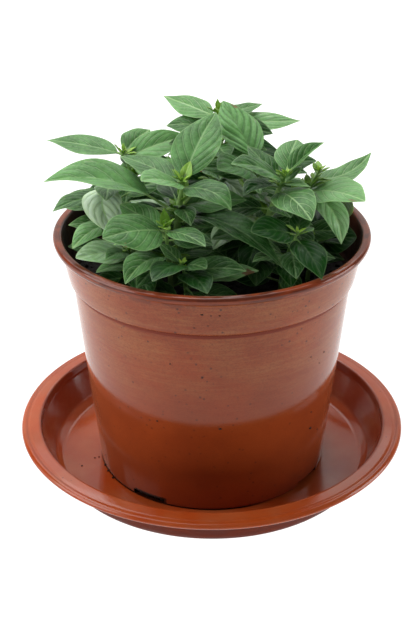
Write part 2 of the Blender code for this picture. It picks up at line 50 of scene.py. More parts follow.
SEED = 5

# Camera, as it stood for the photograph
LENS = 80.19
SENSOR = 36.0
PITCH = 27.74  # degrees down
DISTANCE = 728.3 * MM
AIM = Vector((-0.9 * MM, 0, 82.76 * MM))
PICTURE = (420, 630)
AHEAD = Vector((0, cos(radians(PITCH)), -sin(radians(PITCH))))
UPWARD = Vector((0, -AHEAD.z, AHEAD.y))
EYE = AIM - AHEAD * DISTANCE

# Studio. Each lamp has its place, size and watts, and an oblong one its height too
WORLD_LIGHT = 0.16
FLOOR_GLOW = 1.1
FLOOR_GREYS = (0.15, 0.17)
FLOOR_DROP = 0.4 * MM
LAMP_AIM = Vector((0, 0, 0.1))
LAMPS = {
    "overhead": ((-0.3, 0.35, 1.15), 1.0, 7.2),
    "left_high": ((-0.92, -0.15, 0.72), 0.8, 7.4),
    "left_low": ((-1.15, 0.1, 0.35), 0.7, 1.5),
    "left_front": ((-0.95, -0.55, 0.4), 0.7, 1.2),
    "right_low": ((1.15, 0.1, 0.38), 0.7, 7.0),
    "behind_low": ((0, 1.3, 0.55), 2.4, 3.9, 0.7),
    "behind_high": ((-0.1, 0.9, 1.15), 1.6, 8.4, 0.8),
}

# Saucer
SAUCER_R = 102 * MM
SAUCER_FOOT_R = 80 * MM
SAUCER_FLOOR_Z = 2.2 * MM
SAUCER_FLOOR_R = 80.5 * MM
SAUCER_WALL_R = 91.5 * MM
SAUCER_RIM_Z = 24 * MM
SAUCER_GROOVE_R = 98.4 * MM
SAUCER_SKIN = 2 * MM
SAUCER_ROUNDING = 1.2 * MM
SAUCER_WARP = 0.25 * MM
SAUCER_SHADE_DROP = 3.4 * MM  # below the rim, where the outer wall's painted shade, with its scuffs, starts
LIT_FRONT = (-54 * MM, -66 * MM)  # from where to where in Y the saucer's front gets painted light, a warmer and brighter orange
# from where to where out from the pot's foot the painted shadow on the saucer reaches
CONTACT_SHADOW_REACH = (0.7 * MM, -0.3 * MM)
CONTACT_SHADOW_END = (34 * MM, 14 * MM)  # from where to where in X the painted shadow under the pot fades in

# Pot
GAP = 0.3 * MM
POT_Z = SAUCER_FLOOR_Z + GAP
POT_H = 130 * MM
POT_FOOT_R = 59.7 * MM
POT_STEP_R = 71.1 * MM
POT_STEP_H = 106.2 * MM
POT_COLLAR_R = 73.0 * MM
POT_COLLAR_TOP_R = 76.4 * MM
POT_LIP_R = 80 * MM
POT_LIP_INNER_R = 75.2 * MM
POT_SKIN = 2.0 * MM
POT_ROUNDING = 0.9 * MM
POT_WARP = 0.35 * MM
FOOT_RING_H = 3.5 * MM
FLOOR_SKIN = 1.8 * MM
POT_TOP = POT_Z + POT_H
STEP_Z = POT_Z + POT_STEP_H
PLATE_Z = POT_Z + FOOT_RING_H
FLOOR_Z = PLATE_Z + FLOOR_SKIN
NOTCH_H = 3.0 * MM
NOTCH_W = 19 * MM
NOTCH_TURNS = (-33, 57, 147, 237)
NOTCH_SHADE_ASIDE = 1.3 * MM  # how far the painted shade, with some dirt, inside the front notch reaches to the right
CUT_DEPTH = 8 * MM
DRAIN_R = 4 * MM
DRAIN_RING_R = 38 * MM
DRAINS = 4
# heights over which the dust and its painted sheen come in
DUST_AND_SHEEN_RISE = (POT_Z + 40 * MM, POT_Z + 100 * MM)
TURN_STEPS = 192
PROFILE_STEP = 6 * MM
PLASTIC_EDGE = 40  # degrees, the least turn that shows as an edge
CRUMB_EDGE = 60
LEAF_EDGE = 55
AROUND = 48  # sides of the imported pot, which the leaves were bent clear of

# Soil
SOIL_EDGE_Z = 107.2 * MM
SOIL_TOP_Z = 108.4 * MM
SOIL_GRADE = 108.0
SOIL_TEST_R = 73 * MM
SOIL_RINGS = 46
SOIL_STEPS = 120
HOLE_DEPTH = 26.0
CRUMBS = 520
CRUMB_SIZES = (0.7, 0.9, 1.1, 1.4, 1.9, 2.6)

# Leaves
PETIOLE_WIDTH = 1.6
TIP_WIDTH = 0.7
WIDEST = 0.756
CURL = 0.25
CLEAR = 0.75
STEM_CLEAR = 0.8
BIG_STATIONS = (0.0, 0.14, 0.35, 0.60, 0.82, 1.0)
SMALL_STATIONS = (0.0, 0.30, 0.68, 1.0)
BUD_STATIONS = (0.0, 0.40, 1.0)
SMALL_LENGTH = 23
BUD_LENGTH = 13
LIGHT_ROLL = 26
SLICES = 40  # straight pieces that a leaf's midrib is made of
BLADE = 0.36  # thickness of a dressed blade at its midrib, mm
BLADE_EDGE = 0.16
LEAF_VEINS = 4.3  # side veins on each half of a leaf or bud, and the length that adds one, mm
BUD_VEINS = 2.6
VEIN_LENGTH = 34
BASE_HALF = 0.55  # least half width of a dressed blade at its base and tip, mm
TIP_HALF = 0.12
QUILT = 0.026  # swelling between the side veins, as a share of the leaf's width
WAVE = 0.016  # waves of the margin, as a share of the leaf's length
GROOVE = 0.32  # depth and width of the groove over the midrib, mm
GROOVE_WIDTH = 0.7
VEIN_SWEEP = 0.32  # how far forward a side vein runs, as a share of the leaf's length
VEIN_BEND = 0.16  # how much further it bends by the margin
FILL_FROM = 115  # height of the lowest added leaves
FILL_STEP = 7.0  # from one added pair to the next, mm
FILL_TOP = 6  # mm below a stem's tip, where they end
TIP_ZONE = 12  # mm below a stem's tip, where its side shoots are still small
AXIL_LENGTH = 22  # the shortest leaf that has shoots in its axil, mm
AXIL_RISE = 1.6
TUFT_SIZE = 4.2
TOP, UNDER, STALK, BUD = range(4)
MARKS = ("phase", "pitch", "across", "margin", "tone", "veins", "burn")
PLAIN_STALK = {"margin": 5.0, "across": 5.0, "pitch": 5.0}

Leaf = namedtuple("Leaf", "at turn rise length width droop roll petiole fold sway hook tone relief burn",
                  defaults=(20, 0, 3, 12, 0, 1, 0.5, 0.9, None))
Stem = namedtuple("Stem", "root tip radius leaves pairs left_out gap_leaf", defaults=((), (), None))


def bud(at, turn, rise, length, width, petiole=1, tone=0.5):
    """A young leaf, still folded."""
    return Leaf(at, turn, rise, length, width, droop=10, petiole=petiole, fold=16, tone=tone)


# Each stem has its root (x, y) at the soil, tip (x, y, z), root radius and the leaves seen from the front.
# A leaf's columns are height on the stem, compass direction, first slope, length and width, then as far as
# they are needed droop, roll, petiole, fold, sway and hook. Its tone and shading go from 0, the deepest
# green, which is also painted shade, to 1.8, the palest, which is painted light with a painted sheen; relief
# is how strongly it swells between its side veins. A burn is a brown spot: share of the leaf's length, mm out
# from its midrib, reach in mm.
# A stem's lower pairs (height, compass direction, blade length) follow the plant's own rule. The small added
# leaves that are left out, by number, would hide a leaf or stem which the photograph shows.
STEMS = {
    "leafy_stem_front_main": Stem((-18, -13), (-14, -20, 166), 2.8, [
        Leaf(165, 65, 40, 42, 25, tone=0.5),
        Leaf(164, 220, 25, 24, 20, 30, -10, 2, hook=3, tone=0.7),
        Leaf(162, 315, 15, 32, 18, 60, 10, hook=2, tone=0.42),
        Leaf(164, 140, 15, 38, 20, fold=14, tone=0.3),
        Leaf(147, 185, 35, 52, 30, 50, -5, 18, 22, tone=0.68, relief=0.6),
        Leaf(147, 325, 10, 56, 20, 50, 0, 8, 20, tone=0.3, relief=0.7, burn=(0.44, 6.5, 2.2)),
        Leaf(143, 145, 15, 26, 14, 20, -10, 4, 10, tone=1.4),
        bud(164, 55, 50, 11, 7, tone=0.55),
        bud(165, 180, 65, 7, 4, tone=0.95),
        Leaf(151, 5, 10, 30, 18, 20, 20),
    ], [(140, 160, 26), (130, 70, 26)], left_out=(10, 11)),
    "leafy_stem_tallest": Stem((1, 26), (3, 36, 180), 2.2, [
        Leaf(178, 140, 5, 34, 15, 0, -22, 3, 8, tone=0.78),
        Leaf(176, 15, -5, 42, 17, 0, 20, 3, 8, tone=0.95),
        Leaf(178, 40, 5, 28, 13, 10, 5),
        Leaf(162, 30, -5, 36, 22, 20, 30, 5, tone=-0.1),
        Leaf(149, 315, -5, 30, 14, 50, 0, 4, tone=1.6),
        bud(179, 60, 60, 6, 4),
        bud(179, 240, 60, 5, 3),
    ], [(160, 200, 24), (144, 100, 28), (134, 190, 28), (124, 280, 24)],
        # It stands behind the gap over the front stem's bud, where the pot's back rim would show
        gap_leaf=Leaf(145, 188, 14, 20, 13, roll=-22, petiole=2, tone=0.15, relief=1.0)),
    "leafy_stem_centre": Stem((19, 4), (22, 6, 167), 2.0, [
        Leaf(166, 120, 40, 36, 23, 15, tone=0.72, relief=2.2, burn=(0.85, 4.2, 2.4)),
        Leaf(159, 230, 35, 28, 22, 30, -25, tone=0.45, relief=1.6),
        Leaf(131, 235, 20, 28, 18, 50, 0, 6, 16, tone=1.2),
        Leaf(156, 275, 25, 24, 14, 40),
        Leaf(147, 280, 35, 20, 12, 40),
    ], [(146, 20, 24), (131, 60, 26), (122, 320, 22)], left_out=(8,)),
    "leafy_stem_right": Stem((23, -10), (36, -16, 168), 2.2, [
        Leaf(164, 210, 40, 30, 19, 30, -15, tone=0.36),
        Leaf(167, 76, 30, 26, 16, 30),
        Leaf(167, 35, 30, 23, 14, fold=40),
        Leaf(158, 295, 15, 32, 21, 40, 10, tone=0.57, relief=0.5),
        bud(162, 35, 30, 12, 7, petiole=2, tone=0.68),
        Leaf(162, 330, 15, 14, 7, 20, 0, 2, 16),
        Leaf(160, 125, 35, 26, 14, 20, 0, 4, tone=0.36),
        Leaf(160, 220, 25, 22, 15, 70, 0, 3, 20, 0, 2, tone=-0.05),
        bud(166, 65, 25, 8, 5),
        bud(166, 230, 45, 8, 5),
        Leaf(141, 55, 15, 23, 13, 30, 15, 4, tone=0.3),
        Leaf(133, 250, 0, 26, 15, 40, 0, 4, tone=0.05),
    ], [(148, 170, 24), (136, 20, 24), (124, 290, 22)], left_out=(3, 5)),
    "leafy_stem_far_right": Stem((38, 0), (53, -2, 164), 2.0, [
        Leaf(160, 30, -15, 32, 17, -60, 0, 4, tone=0.66),
        Leaf(153, 311, 19, 36, 24, 20, 14, tone=0.84, relief=0.5, burn=(0.87, 3.6, 2.6)),
        Leaf(151, 303, 8, 30, 16, 96, 0, 9, tone=0.9),
        Leaf(152, 30, -5, 28, 18, 80, 0, 8, tone=1.3),
        bud(162, 85, 20, 10, 5),
        bud(159, 35, -10, 10, 5),
        Leaf(156, 40, 0, 22, 15, 20, 30, 2, tone=1.3),
    ], [(142, 200, 24), (132, 100, 26)], left_out=(5,)),
    "leafy_stem_far_left": Stem((-32, 20), (-46, 30, 161), 2.0, [
        Leaf(160, 160, 10, 40, 18, 15, -12, relief=0.5),
        Leaf(160, 65, 15, 28, 15, 20, 20),
        Leaf(158, 25, 20, 34, 19, 20, 25, 3, 14, tone=0.6),
        Leaf(154, 345, 10, 26, 16, 20, 25),
        Leaf(160, 30, 25, 7, 3, 10, 0, 1, 20),
        Leaf(160, 200, 60, 7, 4, 10, 0, 1, 20),
        Leaf(140, 110, -5, 28, 16, 30, -20, 4),
        Leaf(138, 70, -5, 26, 15, 30, 20, 4),
    ], [(146, 10, 26), (127, 20, 26)]),
    "leafy_shoot_left": Stem((-44, 0), (-50, 4, 155), 1.8, [
        Leaf(153, 248, 6, 43, 20, 48, 2, 3, 14, 72, tone=1.8),
        Leaf(146, 220, 25, 32, 17, 40, -5, 6, tone=0.4),
        Leaf(135, 225, 10, 27, 17, 45, 0, 6, tone=0.8),
    ], [(153, 80, 24), (146, 15, 22)]),
    "leafy_shoot_low_left": Stem((-38, -22), (-40, -30, 134), 1.6, [
        Leaf(132, 205, 15, 26, 20, 20, -12, 2, tone=1.2),
        Leaf(128, 220, 15, 12, 11, 30, 0, 2),
        Leaf(121, 210, 25, 18, 12, 40, tone=0.85),
    ], [(132, 60, 18)]),
    "leafy_shoot_front_left": Stem((-20, -32), (-22, -42, 151), 1.8, [
        Leaf(149, 215, 20, 32, 25, 25, -24, 3, 4, relief=0.4, burn=(0.75, -7.4, 1.8)),
        Leaf(144, 142, 27, 25, 17, 20, -12, 6),
        Leaf(149, 315, 15, 24, 15, 30, tone=0.36),
        Leaf(132, 235, 25, 30, 19, 60, 0, 6, 20),
        bud(150, 100, 70, 9, 5, tone=0.2),
        bud(150, 300, 60, 6, 4),
    ], [(130, 50, 24)]),
    "leafy_shoot_front": Stem((-12, -44), (-14, -52, 137), 1.6, [
        Leaf(136, 240, 25, 25, 16, 40, 0, 2, tone=0.01),
        Leaf(134, 315, 40, 15, 13, 50, 10, 2, tone=0.28),
        Leaf(131, 295, 20, 24, 16, 40, tone=0.0),
        Leaf(128, 15, 5, 34, 18, 15, 10, tone=0.82, burn=(0.85, 3.4, 7.0)),
        Leaf(136, 140, 35, 14, 9, 20, 0, 2),
    ]),
    "leafy_shoot_front_right": Stem((34, -26), (41, -36, 146), 1.8, [
        Leaf(142, 292, 4, 29, 17, 42, tone=0.0),
        Leaf(144, 210, 30, 24, 18, 30, -25, tone=-0.1),
        Leaf(145, 75, 35, 14, 11, 20, 0, 2, tone=0.2),
        Leaf(145, 60, 0, 14, 9, 20, 0, 2),
        Leaf(127, 275, 10, 20, 12, 40, tone=0.0),
        Leaf(129, 220, 30, 20, 12, 40),
    ], [(129, 20, 20)], left_out=(2,)),
    "leafy_shoot_low_right": Stem((48, -12), (55, -5, 129), 1.6, [
        Leaf(127, 355, 20, 17, 21, 20, 25, 2, tone=-0.08),
        Leaf(128, 95, 30, 22, 14, 20, 0, 2, tone=-0.1),
        Leaf(127, 310, 30, 14, 9, 30, 0, 2, tone=0.05),
    ]),
    "leafy_stem_back_left": Stem((-16, 40), (-20, 48, 148), 2.0, [
        Leaf(141, 125, 0, 34, 18, 30, -25, 4),
        Leaf(141, 65, -10, 28, 15, 30, 25, 4),
        Leaf(129, 245, 35, 32, 17, 40, -25, 4, tone=1.6),
        Leaf(127, 295, 35, 32, 17, 40, 25, 4),
        bud(147, 20, 65, 7, 4),
        bud(147, 200, 65, 6, 4),
    ], [(146, 10, 28)]),
    "leafy_stem_back_middle": Stem((14, 42), (16, 48, 146), 2.0, [
        Leaf(140, 120, -10, 30, 16, 30, -25, 4),
        Leaf(140, 55, 0, 34, 18, 30, 25, 4),
        Leaf(129, 255, 35, 29, 16, 40, -25, 4),
        Leaf(127, 305, 35, 29, 16, 40, 25, 4),
        bud(145, 60, 65, 7, 4),
        bud(145, 240, 65, 6, 4),
    ], [(144, 170, 28), (133, 10, 28)]),
    "leafy_stem_back_right": Stem((40, 30), (46, 36, 138), 1.9, [
        Leaf(137, 110, -5, 28, 16, 30, -25, 4),
        bud(137, 30, 60, 7, 4),
        bud(137, 210, 60, 6, 4),
    ], [(136, 20, 28), (128, 140, 30), (121, 60, 24)]),
}


# Placing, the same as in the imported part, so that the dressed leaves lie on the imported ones
def pot_inner_radius(height):
    """Radius of the pot's inner wall below the collar step, at a world height."""
    share = (height - FLOOR_Z) / (STEP_Z - 1.2 * MM - FLOOR_Z)
    low_r = POT_FOOT_R - POT_SKIN + 0.5 * MM
    high_r = POT_STEP_R - POT_SKIN
    return low_r + share * (high_r - low_r)


def pot_upper_inside():
    """(radius, height) points of the inside above the soil, from the collar step to the lip."""
    return [
        (POT_STEP_R - POT_SKIN, STEP_Z - 1.2 * MM),
        (POT_COLLAR_R - POT_SKIN, STEP_Z + 1.4 * MM),
        (POT_COLLAR_TOP_R - POT_SKIN, POT_TOP - 4.0 * MM),
        (POT_LIP_INNER_R, POT_TOP - 1.2 * MM),
        (POT_LIP_INNER_R + 1.0 * MM, POT_TOP),
    ]


def stem_point(stem, height):
    """Centre of a stem in mm: upright at the root, then leaning over towards its tip."""
    root_x, root_y = stem.root
    tip_x, tip_y, tip_z = stem.tip
    share = max(0.0, (height - SOIL_GRADE) / (tip_z - SOIL_GRADE))
    lean = share * share
    return np.array([root_x + (tip_x - root_x) * lean, root_y + (tip_y - root_y) * lean, height])


def stem_radius(stem, height):
    share = max(0.0, (height - SOIL_GRADE) / (stem.tip[2] - SOIL_GRADE))
    return stem.radius * (1 - 0.42 * share)


def heading(turn, rise):
    around = radians(turn)
    up = radians(rise)
    return np.array([cos(around) * cos(up), sin(around) * cos(up), sin(up)])


def leaf_path(base, shape):
    """A leaf's midrib: points at equal shares of its length."""
    path = [base + heading(shape.turn, shape.rise) * shape.petiole]
    for k in range(SLICES):
        t = (k + 0.5) / SLICES
        step = heading(shape.turn + shape.sway * t, shape.rise - shape.droop * t ** shape.hook)
        path.append(path[-1] + step * shape.length / SLICES)
    return np.array(path)


def along(path, t):
    """Points of a path at shares of its length."""
    at = np.linspace(0, 1, len(path))
    return np.stack([np.interp(t, at, path[:, k]) for k in range(3)], axis=-1)


def leaf_axes(shape, t):
    """Unit vectors across a leaf and out of its face, at shares of its length."""
    t = np.asarray(t, dtype=float)
    around = np.radians(shape.turn + shape.sway * t)
    up = np.radians(shape.rise - shape.droop * t ** shape.hook)
    roll = radians(shape.roll)
    side = np.stack([np.sin(around), -np.cos(around), np.zeros_like(t)], axis=-1)
    face = np.stack([-np.cos(around) * np.sin(up), -np.sin(around) * np.sin(up), np.cos(up)], axis=-1)
    return side * cos(roll) - face * sin(roll), face * cos(roll) + side * sin(roll)


def stations_of(shape):
    if shape.length < BUD_LENGTH:
        return BUD_STATIONS
    return SMALL_STATIONS if shape.length < SMALL_LENGTH else BIG_STATIONS


def leaf_surface(base, shape):
    """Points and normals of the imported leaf's middle surface, row by row from the stem to the tip.

    The first row is at the stem, the second where the petiole meets the blade.
    """
    path = leaf_path(base, shape)
    fold = radians(shape.fold)
    rows = [(base, 0.0, PETIOLE_WIDTH / 2)]
    for t in stations_of(shape):
        half = shape.width / 2 * sin(pi * t ** WIDEST)
        least = PETIOLE_WIDTH / 2 if t < 0.5 else TIP_WIDTH / 2
        rows.append((along(path, t), t, max(half, least)))
    points = []
    normals = []
    for middle, t, half in rows:
        side, face = leaf_axes(shape, t)
        x = np.array([[-half], [0.0], [half]])
        lift = abs(x) * sin(fold) - CURL * x * x / shape.width
        points.append(middle + side * x * cos(fold) + face * lift)
        normals.append([face] * len(x))
    return np.array(points), np.array(normals)


def slab(points, normals, half):
    """A closed slab about a leaf's middle surface, for testing what it would touch."""
    rows, columns = points.shape[:2]
    corners = np.concatenate([points + normals * half, points - normals * half]).reshape(-1, 3)
    below = rows * columns
    faces = []
    for i in range(rows - 1):
        for j in range(columns - 1):
            a = i * columns + j
            faces.append((a, a + 1, a + columns + 1, a + columns))
            faces.append((a + below, a + columns + below, a + columns + 1 + below, a + 1 + below))
    ring = [i * columns for i in range(rows)]
    ring += [(rows - 1) * columns + j for j in range(1, columns)]
    ring += [i * columns + columns - 1 for i in range(rows - 2, -1, -1)]
    ring += [j for j in range(columns - 2, 0, -1)]
    for a, b in zip(ring, ring[1:] + ring[:1]):
        faces.append((a, b, b + below, a + below))
    return corners, faces


class Room:
    """What already stands in the pot, so that each new leaf can be bent clear of it."""

    def __init__(self):
        self.taken = []

    def add(self, owner, corners, faces):
        tree = BVHTree.FromPolygons([tuple(c) for c in corners], faces)
        self.taken.append((owner, corners.min(0), corners.max(0), tree))

    def is_free(self, corners, faces, owners_to_skip=()):
        low, high = corners.min(0), corners.max(0)
        tree = None
        for owner, other_low, other_high, other in self.taken:
            if owner in owners_to_skip:
                continue
            if np.any(low > other_high) or np.any(high < other_low):
                continue
            if tree is None:
                tree = BVHTree.FromPolygons([tuple(c) for c in corners], faces)
            if tree.overlap(other):
                return False
        return True


def circle(sides, offset=0.0):
    """Unit vectors around a level circle."""
    turns = [tau * (k + offset) / sides for k in range(sides)]
    return [np.array([cos(turn), sin(turn), 0]) for turn in turns]


def wall(rings, sides, first=0):
    """Four-sided faces between closed rings of points."""
    faces = []
    for low in range(first, first + (rings - 1) * sides, sides):
        for j in range(sides):
            n = (j + 1) % sides
            faces.append((low + j, low + n, low + sides + n, low + sides + j))
    return faces


def turned_wall(profile):
    """Corners and faces of a turned wall in mm, from (radius, height) points in metres."""
    corners = [way * (radius / MM) + np.array([0, 0, height / MM]) for radius, height in profile
               for way in circle(AROUND)]
    return np.array(corners), wall(len(profile), AROUND)


def stem_tube(stem, sides=6, steps=10):
    """Corners and faces of the room that a stem takes up."""
    corners = []
    for k in range(steps + 1):
        height = SOIL_GRADE + (stem.tip[2] - SOIL_GRADE) * k / steps
        radius = stem_radius(stem, height) + STEM_CLEAR
        corners += [stem_point(stem, height) + way * radius for way in circle(sides)]
    cap = tuple(steps * sides + j for j in range(sides))
    return np.array(corners), wall(steps + 1, sides) + [cap]


def bends(sizes):
    """Changes of direction and slope, in degrees, from the smallest up."""
    yield 0, 0
    for size in sizes:
        for k in range(8):
            around = tau * k / 8
            yield size * cos(around), size * sin(around)


def bent_clear(room, owner, base, shape, shrinks=(1.0, 0.85, 0.7), sizes=(3, 6, 9, 12, 16, 20, 25, 30, 36)):
    """The same leaf, turned or raised just enough to touch nothing, or None."""
    for shrink in shrinks:
        for more_turn, more_rise in bends(sizes):
            tried = shape._replace(turn=shape.turn + more_turn, rise=shape.rise + more_rise,
                                   length=shape.length * shrink, width=shape.width * shrink)
            points, normals = leaf_surface(base, tried)
            corners, faces = slab(points, normals, CLEAR)
            if not room.is_free(corners, faces, (owner, owner + " blades")):
                continue
            outer, outer_faces = slab(points[2:], normals[2:], CLEAR / 2)
            if room.is_free(outer, outer_faces, (owner,)):
                return tried, (corners, faces), (outer, outer_faces)
    return None


def chance_leaf(draw, height, way, length, rises, widths, petioles, **more):
    """A leaf that rolls towards the light, with its slope, width, droop and petiole left to chance."""
    roll = LIGHT_ROLL * cos(radians(way)) + draw.uniform(-8, 8)
    return Leaf(height, way, draw.uniform(*rises), length, length * draw.uniform(*widths),
                droop=draw.uniform(20, 55), roll=roll, petiole=draw.uniform(*petioles), **more)


def rule_leaves(stem, draw):
    """The opposite pairs of leaves lower on a stem, each pair a little off the last one's cross."""
    made = []
    for height, turn, length in stem.pairs:
        for side in (0, 180):
            size = length * draw.uniform(0.85, 1.1)
            way = turn + side + draw.uniform(-12, 12)
            made.append(chance_leaf(draw, height, way, size, (5, 28), (0.5, 0.58), (3, 6), tone=0.34))
    return made


def settle(room, wanted, *tries):
    """The leaves that find room, stem by stem, each bent clear of what stands there already."""
    settled = {name: [] for name in STEMS}
    for name, shape in wanted:
        base = stem_point(STEMS[name], shape.at)
        found = bent_clear(room, name, base, shape, *tries)
        if found is None:
            continue
        fitted, whole, outer = found
        room.add(name, *whole)
        room.add(name + " blades", *outer)
        settled[name].append((base, fitted))
    return settled


def arrange():
    """All leaves of all stems, bent clear of each other, the pot and the soil."""
    room = Room()
    room.add("pot", *turned_wall(pot_upper_inside()))
    soil_z = SOIL_TOP_Z + 1 * MM
    room.add("soil", *turned_wall([(SOIL_TEST_R, soil_z), (0.1 * MM, soil_z)]))
    for name, stem in STEMS.items():
        room.add(name, *stem_tube(stem))
    draw = random.Random(SEED)
    wanted = [(name, shape) for name, stem in STEMS.items() for shape in stem.leaves]
    wanted += [(name, shape) for name, stem in STEMS.items() for shape in rule_leaves(stem, draw)]
    return settle(room, wanted), room


def fill_in(placed, room):
    """Leaves between the others and shoots in the axils, which only the dressed plant has."""
    draw = random.Random(SEED + 1)
    wanted = []
    for name, stem in STEMS.items():
        heights = np.arange(FILL_FROM, stem.tip[2] - FILL_TOP, FILL_STEP)
        for k, height in enumerate(heights):
            turn = draw.uniform(-20, 20) + 90 * k
            for way in (turn, turn + 180):
                length = draw.uniform(18, 27)
                added = chance_leaf(draw, height, way, length, (0, 30), (0.52, 0.66), (3, 7), relief=1.0)
                wanted.append((name, added))
    for name, leaves in placed.items():
        for _, shape in leaves:
            if shape.length < AXIL_LENGTH:
                continue
            sizes = (3.5, 5.5) if shape.at > STEMS[name].tip[2] - TIP_ZONE else (7.5, 12.5)
            for side in (-55, 55):
                length = draw.uniform(*sizes)
                way = shape.turn + side + draw.uniform(-15, 15)
                wanted.append((name, Leaf(shape.at + AXIL_RISE, way, draw.uniform(25, 60), length,
                                          length * 0.52, droop=25, petiole=2.5, fold=18, relief=1.0)))
    wanted = [(name, shape) for name, shape in wanted if shape.at <= STEMS[name].tip[2]]
    return settle(room, wanted, (1.0,), (10, 22))


# Mesh helpers
def linked(name, data):
    """A new object in the scene."""
    made = bpy.data.objects.new(name, data)
    bpy.context.scene.collection.objects.link(made)
    return made


def piece(name, mesh, *coats):
    """An object of a mesh, with its materials."""
    made = linked(name, mesh)
    for coat in coats:
        mesh.materials.append(coat)
    return made


def dress(made, node):
    """The piece rides on the body and stands for the CAD node of that name."""
    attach(made, "root")
    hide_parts(node)


def smooth(mesh, degrees):
    mesh.shade_smooth()
    mesh.set_sharp_from_angle(angle=radians(degrees))


def eased(profile, radius, pieces=4):
    """The same profile with its corners rounded off."""
    points = [profile[0]]
    for before, at, after in zip(profile, profile[1:], profile[2:]):
        at = np.array(at)
        back = np.array(before) - at
        on = np.array(after) - at
        reach = min(radius, 0.45 * np.linalg.norm(back), 0.45 * np.linalg.norm(on))
        start = at + back / np.linalg.norm(back) * reach
        end = at + on / np.linalg.norm(on) * reach
        for k in range(pieces + 1):
            s = k / pieces
            points.append(tuple((1 - s) ** 2 * start + 2 * s * (1 - s) * at + s * s * end))
    points.append(profile[-1])
    return points


def dense(profile, step):
    """The same profile with its long stretches divided."""
    points = [profile[0]]
    for before, at in zip(profile, profile[1:]):
        count = max(1, round(math.dist(before, at) / step))
        for k in range(1, count + 1):
            s = k / count
            points.append((before[0] + (at[0] - before[0]) * s, before[1] + (at[1] - before[1]) * s))
    return points


def mesh_of(name, form):
    """The mesh of a bmesh, which is used up."""
    mesh = bpy.data.meshes.new(name)
    form.to_mesh(mesh)
    form.free()
    return mesh


def turned_mesh(name, profile, warp, steps):
    """A mesh turned about Z from (radius, height) points, each point moved by warp."""
    form = bmesh.new()
    rings = []
    for radius, height in profile:
        ring = []
        for k in range(steps if radius > 0 else 1):
            around = tau * k / steps
            at = Vector((radius * cos(around), radius * sin(around), height))
            ring.append(form.verts.new(warp(at)))
        rings.append(ring)
    for upper, lower in zip(rings, rings[1:]):
        for k in range(steps):
            around = ((upper, k), (upper, k + 1), (lower, k + 1), (lower, k))
            corners = list(dict.fromkeys(ring[n % len(ring)] for ring, n in around))
            if len(corners) > 2:
                form.faces.new(corners)
    bmesh.ops.recalc_face_normals(form, faces=form.faces[:])
    return mesh_of(name, form)


def cut_away(mesh, tools):
    """A mesh with the tools' shapes cut out of it. The tools are used up."""
    body = linked("cut_body", mesh)
    shapes = bpy.data.collections.new("tools")
    bpy.context.scene.collection.children.link(shapes)
    for tool in tools:
        shapes.objects.link(tool)
    boolean = body.modifiers.new("cut", "BOOLEAN")
    boolean.operation = "DIFFERENCE"
    boolean.operand_type = "COLLECTION"
    boolean.collection = shapes
    boolean.solver = "EXACT"
    graph = bpy.context.evaluated_depsgraph_get()
    result = bpy.data.meshes.new_from_object(body.evaluated_get(graph))
    bpy.data.objects.remove(body)
    for tool in tools:
        bpy.data.objects.remove(tool)
    bpy.data.collections.remove(shapes)
    return result


def tool_of(form, place):
    """A hidden cutting tool from a bmesh, moved to its place."""
    tool = bpy.data.objects.new("tool", mesh_of("tool", form))
    tool.matrix_world = place
    return tool


# Camera, floor and lights
def sight(px, py):
    """Direction from the camera through a pixel of the photograph."""
    scale = SENSOR / LENS / PICTURE[1]
    aside = Vector((1, 0, 0)) * (px - PICTURE[0] / 2) * scale
    return (AHEAD + aside + UPWARD * (PICTURE[1] / 2 - py) * scale).normalized()


def make_camera():
    lens = bpy.data.cameras.new("camera")
    lens.lens = LENS
    lens.sensor_width = SENSOR
    lens.sensor_height = SENSOR
    camera = linked("camera", lens)
    camera.location = EYE
    camera.rotation_euler = (radians(90 - PITCH), 0, 0)
    bpy.context.scene.camera = camera


def make_lamp(name, place, size, watts, height=None):
    lamp = bpy.data.lights.new(name, "AREA")
    lamp.shape = "RECTANGLE" if height else "DISK"
    lamp.size = size
    if height:
        lamp.size_y = height
    lamp.energy = watts
    made = linked(name, lamp)
    made.location = place
    made.rotation_euler = (Vector(place) - LAMP_AIM).to_track_quat("Z", "Y").to_euler()


def make_studio():
    scene = bpy.context.scene
    scene.view_settings.view_transform = "Standard"
    world = bpy.data.worlds.new("studio")
    world.use_nodes = True
    world.node_tree.nodes["Background"].inputs["Color"].default_value = (1, 1, 1, 1)
    world.node_tree.nodes["Background"].inputs["Strength"].default_value = WORLD_LIGHT
    scene.world = world
    for name, lamp in LAMPS.items():
        make_lamp(name, *lamp)
    form = bmesh.new()
    bmesh.ops.create_grid(form, x_segments=2, y_segments=2, size=4)
    paper = Shader("floor_white", {"Roughness": 0.9, "Emission Color": (1, 1, 1, 1),
                                   "Emission Strength": FLOOR_GLOW})
    greys = [(grey, grey, grey, 1) for grey in FLOOR_GREYS]
    paper.join(paper.mix(paper.noise(6), *greys), paper.surface.inputs["Base Color"])
    floor = piece("floor", mesh_of("floor", form), paper.material)
    floor.location.z = -FLOOR_DROP


# Materials
class Wire:
    """A value in a material's nodes. Sums, differences and products of wires make their own nodes."""

    def __init__(self, coat, socket):
        self.coat = coat
        self.socket = socket

    def __add__(self, other):
        return self.coat.math("ADD", self, other)

    def __sub__(self, other):
        return self.coat.math("SUBTRACT", self, other)

    def __mul__(self, other):
        return self.coat.math("MULTIPLY", self, other)

    def __abs__(self):
        return self.coat.math("ABSOLUTE", self)


